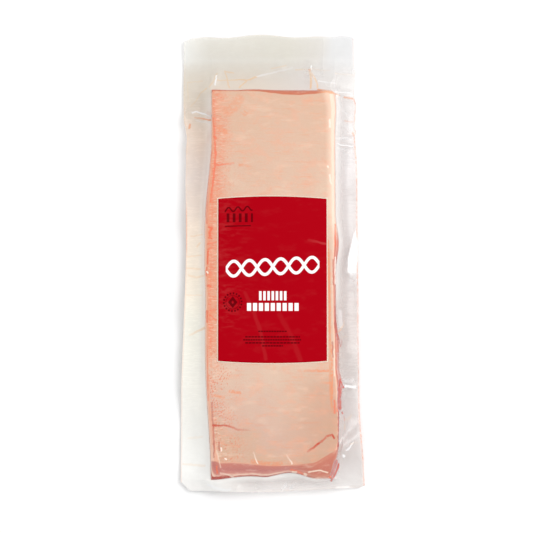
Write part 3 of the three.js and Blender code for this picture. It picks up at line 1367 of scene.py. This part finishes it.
@dataclass(frozen=True)
class FilmFinish:
    """Clear shrink film: almost unseen where it clings to the meat, milky where two layers lie together."""

    roughness: float = 0.2
    ior: float = 2.0
    over_meat: float = 0.02
    flap_reach: float = 275.0
    flap_drift: float = 60.0
    header_reach: float = 110.0
    header_drift: float = 24.0
    # Painted light: on the left flap a lower light and a higher opacity make the film brighter, to offset the
    # shade the slab casts there.
    left_flap: Stops = (
        (-270, veil(237, 235, 232, 0.96, 0.5, 0.95)),
        (-240, veil(246, 242, 236, 0.985, 0.5, 0.9)),
        (-80, veil(246, 239, 227, 0.985, 0.5, 0.9)),
        (-20, veil(242, 230, 213, 0.985, 0.5, 0.9)),
        (40, veil(239, 224, 207, 0.98, 0.5, 0.9)),
        (100, veil(237, 226, 218, 0.74)),
        (150, veil(238, 221, 206, 0.74)),
        (200, veil(230, 220, 206, 0.74)),
        (236, veil(225, 218, 207, 0.7)),
    )
    right_flap: Stops = (
        (-270, veil(229, 226, 224, 0.5, 0.62)),
        (-230, veil(218, 214, 212, 0.46, 0.72)),
        (-160, veil(217, 214, 212, 0.42, 0.7)),
        (-90, veil(214, 209, 206, 0.42, 0.7)),
        (40, veil(222, 218, 217, 0.42, 0.7)),
        (120, veil(229, 227, 227, 0.42, 0.74)),
        (200, veil(233, 231, 230, 0.42, 0.76)),
        (236, veil(234, 232, 230, 0.5, 0.78)),
    )
    header: Stops = (
        (-108, veil(240, 240, 237, 0.66, 0.66)),
        (-94, veil(236, 234, 228, 0.66, 0.62)),
        (-74, veil(228, 225, 217, 0.68, 0.6)),
        (20, veil(231, 228, 219, 0.68, 0.66)),
        (58, veil(234, 231, 226, 0.66, 0.7)),
        (74, veil(236, 236, 236, 0.62, 0.76)),
        (106, veil(232, 232, 233, 0.62, 0.76)),
    )
    white: Colour = (0.93, 0.93, 0.93, 1.0)
    beside_slab_painted_light: Colour = (0.97, 0.96, 0.93, 1.0)
    cream: Colour = srgb(255, 238, 212)
    juice: Colour = srgb(249, 204, 150)
    amber: Colour = srgb(240, 166, 118)
    rim_juice: Colour = srgb(244, 182, 154)
    foot_juice_and_light: Colour = srgb(240, 214, 200)
    left_foot_juice_and_light: Colour = srgb(244, 176, 138)
    blood: Colour = srgb(196, 70, 52)
    swirls: Triple = (30.0, 44.0, 30.0)
    fold_lines: Triple = (26.0, 4.5, 26.0)
    soft_dents: Triple = (16.0, 8.0, 12.0)
    fine_dents: Triple = (3.0, 2.4, 3.0)
    drops: Clouds = Clouds((5.0, 6.0, 5.0), 0.4, 0.6)
    header_start: Point = (222.0, 250.0)
    seal: Point = (241.0, 247.0)
    shade_hiding_opacity: float = 0.78
    low_end: Zone = Zone((-76.0, -10.0), (-250.0, -262.0))
    clear_zone: Zone = Zone((40.0, 70.0), (-30.0, -70.0))
    dull_corner: Zone = Zone((56.0, 76.0), (205.0, 225.0))
    juices: tuple[Stroke, ...] = (
        Stroke(((-102.5, 218), (-84.5, 218.5)), 1.3, 0.2),
        Stroke(((-66.5, 219), (-27, 219.5)), 1.2, 0.35, 0.65),
        Stroke(((-76, 210.5), (-71.5, 217), (-67, 227.5)), 1.2, 0.35),
        Stroke(((-80, 209), (-87, 203), (-98, 188.5)), 1.3, 0.45, 0.2),
        Stroke(((-57.5, 230.5), (-47.5, 228)), 1.2, 0.5),
        Stroke(((-57, 230.5), (-52, 209.5)), 1.3, 0.5),
        Stroke(((-31.5, 218), (-39.5, 209.5)), 1.4, 0.55),
        Stroke(((-27, 219.5), (-19.5, 223)), 1.5, 0.6),
        Stroke(((-1.5, 233.5), (16, 237.5)), 1.3, 0.3),
        Stroke(((28, 232), (47, 232.5), (68.5, 231)), 1.2, 0.4, 0.15),
        Stroke(((45, 230.5), (46.5, 221), (45.5, 209)), 1.7, 0.8),
        Stroke(((47, 227), (53, 217), (53.5, 209.5)), 1.6, 0.7),
        Stroke(((75.5, 227.5), (97, 227)), 1.2, 0.25),
        Stroke(((-102.5, 218), (-102, 197)), 1.1, 0.15),
        Stroke(((-97.5, 31.5), (-84.5, 32.5)), 1.3, 0.3),
        Stroke(((-90.5, 18.5), (-87, 22.5)), 1.3, 0.35),
        Stroke(((-102.5, 7), (-85.5, 7.5)), 1.3, 0.3),
        Stroke(((-102.5, -7.5), (-86.5, -8.5)), 1.8, 0.3),
        Stroke(((-100.5, -16), (-91.5, -18), (-83.5, -16.5)), 2.0, 0.3),
        Stroke(((-103.5, -39), (-84.5, -40)), 1.2, 0.22),
        Stroke(((-99, -87), (-90.5, -83), (-81, -78.5)), 2.0, 0.2, 0.55),
        Stroke(((-106, -240.5), (-81, -242)), 2.2, 0.2),
        Stroke(((-100, -209.5), (-83.5, -208)), 2.0, 0.12),
        Stroke(((93.5, -183), (90.5, -186.5), (85, -187.5)), 1.6, 0.5),
        Stroke(((86, -193), (85.5, -199)), 1.1, 0.6),
        Stroke(((85, -71.5), (83.5, -76.5), (80, -81.5)), 1.4, 0.45),
        Stroke(((81.5, -89), (89, -88.5)), 1.2, 0.25),
        Stroke(((92.5, -216.5), (102, -213.5)), 1.3, 0.3),
    )
    ambers: tuple[Stroke, ...] = (
        Stroke(((55, 206.5), (61.5, 205.5)), 2.2, 0.9),
        Stroke(((61.5, 205.5), (71, 203), (80.5, 200.5)), 1.6, 0.75, 0.4),
        Stroke(((86, 198.5), (96.5, 198)), 1.4, 0.8),
        Stroke(((-100, 166), (-100, 162)), 1.8, 0.95),
        Stroke(((-93.5, 174.5), (-83.5, 172), (-74.5, 170)), 1.3, 0.4, 0.9),
        Stroke(((44, 232), (45, 230.5)), 1.7, 0.6),
        Stroke(((86.5, 171), (96, 170)), 1.2, 0.5),
        Stroke(((96.5, 156.5), (97.5, 153.5)), 2.0, 0.7),
        Stroke(((80, -81.5), (76.5, -84.5)), 1.3, 0.6),
    )
    bloods: tuple[Stroke, ...] = (
        Stroke(((79.5, -140.5), (78.5, -148)), 2.3, 1.0),
        Stroke(((79.5, -142), (83.5, -148.5)), 2.0, 1.0),
        Stroke(((78, -149.5), (84.5, -149)), 1.3, 0.8),
        Stroke(((76.5, -87.5), (77.5, -92.5)), 2.6, 1.0),
        Stroke(((78.5, -93), (80, -101), (82, -98), (81.5, -92.5)), 1.2, 0.7, 0.4),
        Stroke(((82, -179), (82.5, -180.5)), 1.4, 0.8),
        Stroke(((84.5, -183.5), (85, -189.5)), 1.0, 0.45),
        Stroke(((77, -110), (78, -138)), 2.6, 0.35),
        Stroke(((78.5, -151), (79, -174)), 4.0, 0.95),
        Stroke(((78, -240.5), (76, -247), (72.5, -254), (69.5, -260)), 2.0, 0.95, 0.85),
        Stroke(((75, -237), (70, -252)), 3.6, 0.8),
    )
    # Crease lines: they raise the film's bump, and their white is a painted highlight along each crease.
    crease_glints: tuple[Stroke, ...] = (
        Stroke(((-67.5, 224.5), (-69.5, 213)), 1.5, 1.0),
        Stroke(((-19.5, 223.5), (-3, 227.5), (14.5, 232.5), (23, 234.5)), 1.4, 0.8, 0.35),
        Stroke(((46.5, 236.5), (47, 231.5)), 1.4, 0.9),
        Stroke(((55.5, 218), (65, 216), (75, 216)), 1.5, 0.85, 0.6),
        Stroke(((74.5, 205), (95.5, 205)), 1.6, 0.8),
        Stroke(((-96.5, 180), (-91.5, 181), (-82.5, 177.5), (-73.5, 174)), 1.7, 0.9, 1.0),
        Stroke(((-91.5, 170.5), (-74, 166.5)), 1.3, 0.5),
        Stroke(((76.5, 141.5), (96, 140)), 1.5, 0.95),
        Stroke(((76.5, 137), (87.5, 136)), 1.3, 0.5),
        Stroke(((77, 148.5), (95.5, 149.5)), 3.0, 0.5),
        Stroke(((79.5, 188.5), (91, 177.5)), 2.6, 0.45),
        Stroke(((81.5, 169.5), (95, 161)), 2.6, 0.4),
        Stroke(((83.5, -146), (84, -146.5)), 1.2, 0.9),
        Stroke(((95.5, -215), (91, -220.5), (87.5, -223.5)), 1.8, 0.9),
        Stroke(((83.5, -230), (84.5, -231)), 2.3, 1.0),
        Stroke(((-76.5, -264.5), (-68.5, -268.5), (-54, -271), (-50, -269.5)), 2.2, 0.9, 0.6),
        Stroke(((16.5, -262.5), (10, -271.5)), 1.7, 0.55),
        Stroke(((26.5, -262.5), (21.5, -269)), 1.6, 0.5),
    )
    # Painted reflections: bright white patches where the softbox shows in the film.
    painted_reflection: tuple[Stroke, ...] = (
        Stroke(((101, 38), (96, 20), (93, 4), (92, -10)), 4.6, 0.9),
        Stroke(((100.5, 28), (98.5, 4), (98.5, -10)), 7.0, 1.0),
        Stroke(((96, -10), (96, -30)), 8.0, 1.0, 0.0),
        Stroke(((86.5, -148), (98, -148.5)), 2.8, 0.95),
        Stroke(((86, -141), (95, -142)), 3.6, 0.5),
        Stroke(((79.5, -59.5), (81, -76.5)), 4.2, 0.6),
    )

    def label_outline(self, graph: Graph, label: LabelPlan, x: Wire, y: Wire) -> Wire:
        """Find the narrow rim where the film stands off beside the label.

        Args:
            graph: The material's nodes.
            label: The label's outline.
            x: Place across.
            y: Place along.

        Returns:
            1 on the rim.
        """
        half_width = label.width / 2.0
        across = abs(x - label.centre[0])
        bow = (across / half_width) ** 2 * label.bulge
        beyond = abs(y - label.centre[1]) + bow - (label.length / 2.0 + label.bulge)
        return graph.band(graph.greatest(across - half_width, beyond), -1.0, 1.3, 0.5)

    def loose_film(self, graph: Graph, clouds: Wire, x: Wire, y: Wire) -> tuple[Wire, Wire]:
        """Colour the film beside the slab: the left flap, the right one and the header.

        Args:
            graph: The material's nodes.
            clouds: Slow noise that moves the borders between the colours.
            x: Place across.
            y: Place along.

        Returns:
            The colour, and how much of what lies under it one layer hides.
        """
        drift = clouds - 0.5
        along = y + drift * self.flap_drift
        left, left_veil = graph.placed_ramp(along, self.left_flap, self.flap_reach)
        right, right_veil = graph.placed_ramp(along, self.right_flap, self.flap_reach)
        header, header_veil = graph.placed_ramp(x + drift * self.header_drift, self.header, self.header_reach)
        to_right = graph.greatest(graph.smooth(x, -30.0, 72.0), graph.zone(x, y, self.low_end))
        in_header = graph.smooth(y, *self.header_start)
        colour = graph.coats(left, (to_right, right), (in_header, header))
        flaps_veil = graph.blend(to_right, left_veil, right_veil)
        return colour, graph.blend(in_header, flaps_veil, header_veil)

    def rim_juice_at(self, graph: Graph, rim: Wire, drops: Wire, y: Wire) -> Wire:
        """Find the juice that stands in the bag's side rims.

        Args:
            graph: The material's nodes.
            rim: Distances in from the bag's left, right and bottom rims.
            drops: 1 on small drops.
            y: Place along.

        Returns:
            How much juice there is.
        """
        left, right, _ = graph.split(rim)
        in_left = graph.smooth(left, 2.2, 0.4) * graph.smooth(y, 60.0, 90.0, 1.0, 0.1)
        in_left = in_left * (0.25 + graph.band(y, 12.0, 62.0, 8.0) * 0.5)
        in_right = graph.smooth(right, 2.4, 0.4) * graph.smooth(y, 196.0, 202.0, 1.0, 0.25)
        in_right = in_right * (1.0 - graph.band(y, -4.0, 30.0, 6.0) * 0.6)
        return graph.greatest(in_left, in_right * (0.65 + drops * 0.35))

    def material(self, label: LabelPlan) -> bpy.types.Material:
        """Veil the loose film, clear it over the slab, and lay creases, juice and rims over both, with
        painted highlights on the creases, painted reflections on the flaps, and painted light beside the slab
        and along its foot.

        Args:
            label: The label's outline.

        Returns:
            The film's material.
        """
        graph = Graph("clear_shrink_film")
        place = graph.place()
        x, y, _ = graph.split(place)
        out, up, upper = graph.split(graph.attribute("bag"))
        edge = graph.attribute("rim")
        left, _, low = graph.split(edge)
        clouds = graph.noise(place, self.swirls)
        colour, veiled = self.loose_film(graph, clouds, x, y)

        folds = graph.noise(place, self.fold_lines, 4.0, 0.55)
        wrinkle = graph.smooth(abs(folds - 0.5), 0.05, 0.0)
        calm = graph.smooth(y, 200.0, 214.0, 1.0, 0.2) * graph.smooth(y, -210.0, -120.0, 0.3, 1.0)
        seal = graph.band(y, *self.seal, 3.4) * 0.12
        alpha = veiled * (0.86 + clouds * 0.28) + wrinkle * calm * 0.05 + seal * 0.12
        # Painted light beside the slab: the film there is made more opaque and whiter, to hide the shade that
        # the slab casts on the flaps.
        beside_slab_light = graph.smooth(out, 0.4, 0.0) * (1.0 - graph.zone(x, y, self.clear_zone) * 0.65)
        alpha = graph.blend(beside_slab_light * graph.smooth(y, 205.0, 230.0, 0.8, 0.4), alpha, self.shade_hiding_opacity)
        slab = graph.smooth(out, 0.004, 0.0)
        alpha = graph.blend(slab, alpha, self.over_meat)

        flat = graph.wavering(place, 8.0, 1.6)
        painted_reflection, crease_glint, juice, amber, blood = (
            graph.strokes(flat, strokes)
            for strokes in (self.painted_reflection, self.crease_glints, self.juices, self.ambers, self.bloods)
        )
        drops = graph.clouds(place, self.drops)
        rim = self.rim_juice_at(graph, edge, drops, y)
        outline = self.label_outline(graph, label, x, y) * graph.smooth(up, 0.9, 1.0) * upper
        # Line along the slab's foot: partly juice in the film, partly painted light over the shade at the
        # foot.
        foot_juice_and_light = graph.smooth(out, 0.05, 0.0) * graph.smooth(up, 0.3, 0.0)
        foot_juice_and_light = foot_juice_and_light * (0.06 + drops * 0.18)
        colour = graph.coats(
            colour,
            # Painted light: whiter film beside the slab.
            (beside_slab_light * graph.smooth(y, 194.0, 208.0, 0.6, 0.15), self.beside_slab_painted_light),
            (graph.greatest(slab, seal), self.white),
            # Painted reflections and painted highlights: white laid on the reflection patches and along the
            # creases.
            (graph.greatest(painted_reflection, crease_glint), self.white),
            (juice, self.juice),
            (rim, self.rim_juice),
            (amber * 1.2, self.amber),
            (blood, self.blood),
            (outline, self.cream),
            # Foot line: juice and painted light over the shade at the slab's foot.
            (foot_juice_and_light, graph.mix(graph.smooth(x, -60.0, -66.0), self.foot_juice_and_light, self.left_foot_juice_and_light)),
        )
        edging = graph.smooth(graph.math("MINIMUM", left, low), 1.0, 5.0, 0.9, 0.0) * (1.0 - upper)
        wet = graph.greatest(juice * 0.8, amber) * 0.55
        drawn = graph.greatest(crease_glint * 0.7, painted_reflection * 0.8, wet, blood * 0.9, outline * 0.75)
        alpha = graph.greatest(alpha, drawn, rim * 0.5, edging, foot_juice_and_light)

        soft = graph.noise(place, self.soft_dents, 2.0)
        height = folds * 0.7 + soft * 0.8 + crease_glint * 0.6
        height = height * graph.smooth(up, 0.0, 0.4, 0.7, 0.12) * calm
        fine = graph.noise(place, self.fine_dents, 2.0) * 0.015
        dull = graph.zone(x, y, self.dull_corner) * 0.45
        rough = self.roughness + (clouds - 0.5) * 0.16 + dull
        normal = graph.bump(height + fine, 0.8)
        return graph.finish(
            {"Base Color": colour, "Roughness": rough, "Alpha": alpha, "Normal": normal},
            {"IOR": self.ior},
        )


@dataclass(frozen=True)
class Bag:
    """The clear bag: two walls of film, stretched over the slab and lying together round it."""

    form: PackForm
    columns: Cells = Cells(36, 12, 48, 12, 36)
    rows: Cells = Cells(14, 16, 210, 10, 60)
    wrinkles: Ripples = Ripples(26, 9.0, 26.0, 0.16, 5)
    wrinkles_end: float = 236.0
    finish: FilmFinish = FilmFinish()

    def build(self) -> bpy.types.Object:
        """Make both walls as one closed envelope and dress it.

        Returns:
            The bag.
        """
        form = self.form
        across, along = form.across, form.along
        piece, spread = envelope("bag_film", across, along, self.columns, self.rows)
        x, y, out, up = spread.x, spread.y, spread.out, spread.up
        half_gap = form.film_thickness / 2.0 * (1.0 - out**6)
        flap = form.flap_height(x, y, out)
        crinkle = self.wrinkles.at(x, y) * np.sin(np.clip(out, 0.0, 1.0) * math.pi) * (y < self.wrinkles_end)
        roof = lerp(flap + half_gap + crinkle, form.skin_height(x, y), up)
        base = lerp(flap - half_gap + crinkle, 0.0, up)
        write_points(piece.data, x, y, np.where(spread.upper, roof, base))
        left, right = x - across.bag_low.at(y), across.bag_high.at(y) - x
        write_vectors(piece.data, "bag", out, up, spread.upper)
        write_vectors(piece.data, "rim", left, right, y - along.bag_low.at(x))
        weld(piece)
        hand_over(piece, self.finish.material(form.label), "bag_film", "pouch")
        return piece


# ---- The label ----


@dataclass(frozen=True)
class Bars:
    """A printed row of upright bars.

    It has the distance from bar to bar, the share of it that a bar fills, where the row begins and ends, and
    the lower and upper ends of its bars.
    """

    pitch: float
    filled: float
    ends: Point
    rows: Point


@dataclass(frozen=True)
class WavyLine:
    """A printed wavy line of even width, a little tilted.

    It has its swing to each side, the length of one wave, half its width, its level and tilt, and where it
    begins and ends.
    """

    swing: float
    length: float
    half_width: float
    level: float
    tilt: float
    ends: Point
    soft: float


@dataclass(frozen=True)
class LabelFinish:
    """Red print with plain bars, dashes, a braid and a round stamp in place of wording."""

    red: Colour = srgb(167, 0, 17)
    deep_red: Colour = srgb(156, 0, 13)
    dark: Colour = srgb(78, 0, 6)
    white: Colour = (0.92, 0.92, 0.92, 1.0)
    haze_and_sheen: Colour = srgb(186, 62, 64)
    roughness: float = 0.5
    small_bars: Bars = Bars(4.9, 0.6, (-17.2, 17.1), (-47.0, -36.2))
    large_bars: Bars = Bars(7.0, 0.7, (-31.5, 31.5), (-59.4, -50.2))
    blocks: Bars = Bars(7.2, 0.46, (-56.6, -23.5), (45.5, 56.0))
    dashes: tuple[Bars, ...] = (
        Bars(3.1, 0.84, (-17.5, 16.8), (-84.45, -82.75)),
        Bars(3.7, 0.84, (-32.9, 32.1), (-90.95, -89.25)),
        Bars(2.9, 0.84, (-35.2, 33.3), (-94.45, -92.75)),
        Bars(4.1, 0.84, (-32.9, 31.5), (-98.05, -96.35)),
        Bars(3.3, 0.84, (-12.8, 12.0), (-101.55, -99.85)),
    )
    braid: tuple[WavyLine, ...] = (
        WavyLine(8.8, 37.0, 1.75, -7.2, 0.05, (-55.5, 55.0), 0.4),
        WavyLine(-8.8, 37.0, 1.75, -7.2, 0.05, (-55.5, 55.0), 0.4),
    )
    zigzag: WavyLine = WavyLine(2.4, 11.0, 0.9, 63.6, 0.06, (-57.0, -24.0), 0.3)
    rule_rows: Point = (41.2, 42.6)
    rule_ends: Point = (-56.5, -26.0)
    stamp_centre: Triple = (-47.3, -49.2, 0.0)
    outer_ring: Point = (9.4, 11.6)
    inner_ring: Point = (7.6, 8.4)
    lozenge: Point = (1.6, 5.6)
    worn_zone: Zone = Zone((-12.0, -62.0), (-96.0, -70.0))
    worn_patches: Clouds = Clouds((13.0, 4.2, 10.0), 0.42, 0.7, 4.0)
    faint_patches: Clouds = Clouds((22.0, 9.0, 10.0), 0.5, 0.7, 4.0)
    haze_and_sheen_streaks: tuple[Stroke, ...] = (
        Stroke(((-33, -38), (-22, -62), (-14, -86), (-8, -116)), 3.4, 0.16, 0.18),
        Stroke(((8, -64), (22, -90), (32, -117)), 4.6, 0.1, 0.14),
        Stroke(((62, 20), (42, 24)), 2.2, 0.6, 0.2),
    )

    def bars(self, graph: Graph, x: Wire, y: Wire, row: Bars) -> Wire:
        """Print a row of upright bars.

        Args:
            graph: The material's nodes.
            x: Place across.
            y: Place along.
            row: The row.

        Returns:
            1 on the bars.
        """
        step = graph.math("PINGPONG", x - row.ends[0], row.pitch / 2.0)
        edge = row.pitch * (1.0 - row.filled) / 2.0
        bar = graph.smooth(step, edge - 0.2, edge + 0.2)
        return bar * graph.band(x, *row.ends, 0.2) * graph.band(y, *row.rows, 0.2)

    def wave(self, graph: Graph, x: Wire, y: Wire, line: WavyLine) -> Wire:
        """Print a wavy line.

        Args:
            graph: The material's nodes.
            x: Place across.
            y: Place along.
            line: The line.

        Returns:
            1 on the line.
        """
        turn = x * (2.0 * math.pi / line.length)
        slope = graph.math("COSINE", turn) * (line.swing * 2.0 * math.pi / line.length)
        steep = graph.math("SQRT", slope * slope + 1.0)
        above = y - line.level - x * line.tilt
        distance = abs(above - graph.math("SINE", turn) * line.swing) / steep
        printed = graph.smooth(distance, line.half_width + 0.25, line.half_width - 0.25)
        return printed * graph.band(x, *line.ends, line.soft)

    def stamp(self, graph: Graph, place: Wire) -> Wire:
        """Print a round stamp: a broken ring, a thin ring and a lozenge.

        Args:
            graph: The material's nodes.
            place: Place in millimetres.

        Returns:
            1 on the stamp.
        """
        centred = graph.vector("SUBTRACT", place, self.stamp_centre)
        flat = graph.vector("MULTIPLY", centred, (1.0, 1.0, 0.0))
        radius = graph.vector("LENGTH", flat, output="Value")
        x, y, _ = graph.split(flat)
        angle = graph.math("ARCTAN2", y, x)
        breaks = graph.smooth(graph.math("SINE", angle * 18.0), -0.4, 0.2)
        outer = graph.band(radius, *self.outer_ring, 0.3) * breaks
        inner = graph.band(radius, *self.inner_ring, 0.3)
        lozenge = graph.band(abs(x) + abs(y) * 0.8, *self.lozenge, 0.4)
        return graph.greatest(outer, inner * 0.7, lozenge)

    def material(self) -> bpy.types.Material:
        """Print dark and white marks on worn red paper.

        Returns:
            The label's material.
        """
        graph = Graph("printed_label")
        place = graph.place()
        x, y, _ = graph.split(place)
        grain = graph.noise(place, (1.4, 1.4, 1.4), 2.0)
        cloud = graph.noise(place, (40.0, 30.0, 30.0))
        worn = graph.zone(x, y, self.worn_zone) * graph.clouds(place, self.worn_patches)
        faint = graph.clouds(place, self.faint_patches) * 0.07
        # Lighter streaks where film wrinkles lie over the label: partly milky film, partly painted sheen.
        streak = graph.strokes(graph.wavering(place, 10.0, 1.6), self.haze_and_sheen_streaks)
        haze_and_sheen = graph.greatest(worn * 0.3, faint, streak)
        rule = graph.band(y - x * 0.02, *self.rule_rows, 0.3) * graph.band(x, *self.rule_ends, 0.4)
        dark_rows = [self.bars(graph, x, y, row) for row in (self.blocks, *self.dashes)]
        corner = self.wave(graph, x, y, self.zigzag)
        dark = graph.greatest(self.stamp(graph, place), rule, corner, *dark_rows)
        white_rows = [self.bars(graph, x, y, row) for row in (self.small_bars, self.large_bars)]
        braid = [self.wave(graph, x, y, line) for line in self.braid]
        colour = graph.coats(
            graph.mix(cloud * 0.16, self.red, self.deep_red),
            (haze_and_sheen, self.haze_and_sheen),
            (dark * 0.8, self.dark),
            (graph.greatest(*braid, *white_rows), self.white),
        )
        height = grain * 0.02 + graph.noise(place, (26.0, 11.0, 11.0)) * 0.5
        rough = self.roughness + (cloud - 0.5) * 0.16 - haze_and_sheen * 0.1
        return graph.finish(
            {"Base Color": colour, "Roughness": rough, "Normal": graph.bump(height, 0.6)},
            {"IOR": 1.45, "Specular IOR Level": 0.02},
        )


@dataclass(frozen=True)
class Label:
    """The printed label that lies on the film, with its two short edges slightly bowed."""

    form: PackForm
    thickness: float = 0.4
    gap: float = 0.3
    cells: tuple[int, int] = (64, 96)
    finish: LabelFinish = LabelFinish()

    def build(self) -> bpy.types.Object:
        """Lay a sheet on the film, give it its thickness and dress it.

        Returns:
            The label.
        """
        plan = self.form.label
        shape = bmesh.new()
        bmesh.ops.create_grid(shape, x_segments=self.cells[0], y_segments=self.cells[1], size=1.0)
        mesh = bpy.data.meshes.new("label_sheet")
        shape.to_mesh(mesh)
        flat = read_points(mesh)
        x = plan.centre[0] + flat[:, 0] * plan.width / 2.0
        y = plan.centre[1] + flat[:, 1] * (plan.length / 2.0 + plan.bulge * (1.0 - flat[:, 0] ** 2))
        write_points(mesh, x, y, self.form.skin_height(x, y) + self.gap + self.thickness)
        shape.clear()
        shape.from_mesh(mesh)
        bmesh.ops.solidify(shape, geom=shape.faces[:], thickness=self.thickness * MM)
        bmesh.ops.recalc_face_normals(shape, faces=shape.faces)
        shape.to_mesh(mesh)
        shape.free()
        mesh.shade_smooth()
        piece = add_object("label_sheet", mesh)
        hand_over(piece, self.finish.material(), "label_print", "label")
        return piece


# ---- The studio ----


@dataclass(frozen=True)
class Lamp:
    """One softbox that looks at the middle of the table, with its place and size in metres."""

    name: str
    place: Triple
    size: float
    power: float

    def build(self) -> None:
        """Add the lamp."""
        light = bpy.data.lights.new(self.name, "AREA")
        light.shape = "SQUARE"
        light.size = self.size
        light.energy = self.power
        lamp = add_object(self.name, light)
        lamp.location = self.place
        lamp.rotation_euler = (-Vector(self.place)).to_track_quat("-Z", "Y").to_euler()


@dataclass(frozen=True)
class Studio:
    """Pale table, soft light and the camera above, with sizes and places in metres."""

    table_size: float = 6.0
    table_level: float = -0.0003
    sky: float = 0.94
    lamps: tuple[Lamp, ...] = (Lamp("key_softbox", (1.5, 0.6, 2.05), 1.5, 25.0),)
    elevation: float = 86.0
    distance: float = 2.4
    target: Triple = (-0.00745, -0.0044, 0.0)
    lens: float = 135.08
    sensor: float = 36.0
    paper: Colour = (0.93, 0.93, 0.93, 1.0)
    white: Colour = (1.0, 1.0, 1.0, 1.0)

    def add_table(self) -> None:
        """Lay a wide pale table under the pack."""
        shape = bmesh.new()
        bmesh.ops.create_grid(shape, x_segments=8, y_segments=8, size=self.table_size / 2.0)
        bmesh.ops.translate(shape, verts=shape.verts, vec=(0.0, 0.0, self.table_level))
        mesh = bpy.data.meshes.new("table_top")
        shape.to_mesh(mesh)
        shape.free()
        graph = Graph("table_paper")
        even = {"Base Color": self.paper, "Roughness": 0.9, "Specular IOR Level": 0.2}
        mesh.materials.append(graph.finish({}, even))
        add_object("table_top", mesh)

    def add_sky(self) -> None:
        """Light the scene evenly from all round."""
        world = bpy.data.worlds.new("studio_sky")
        world.use_nodes = True
        background = world.node_tree.nodes["Background"]
        background.inputs["Color"].default_value = self.white
        background.inputs["Strength"].default_value = self.sky
        bpy.context.scene.world = world

    def add_camera(self) -> None:
        """Set the camera nearly overhead, a little towards the bottom seal."""
        camera = bpy.data.cameras.new("camera")
        camera.sensor_width = self.sensor
        camera.lens = self.lens
        holder = add_object("camera", camera)
        tilt = math.radians(self.elevation)
        back = Vector((0.0, -math.cos(tilt), math.sin(tilt)))
        holder.location = Vector(self.target) + back * self.distance
        holder.rotation_euler = (math.pi / 2.0 - tilt, 0.0, 0.0)
        bpy.context.scene.camera = holder

    def build(self) -> None:
        """Set up the table, the light and the camera."""
        self.add_table()
        self.add_sky()
        for lamp in self.lamps:
            lamp.build()
        self.add_camera()
        bpy.context.scene.view_settings.view_transform = "Standard"


# ---- The whole pack ----


def main() -> None:
    """Load the solids, build every piece over them and log each piece's triangle count."""
    logging.basicConfig(level=logging.INFO, format="%(name)s: %(message)s")
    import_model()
    form = PackForm()
    Studio().build()
    for part in (Belly(form), Bag(form), Label(form)):
        piece = part.build()
        piece.data.calc_loop_triangles()
        LOG.info("%s: %d triangles", piece.name, len(piece.data.loop_triangles))


if __name__ == "__main__":
    main()
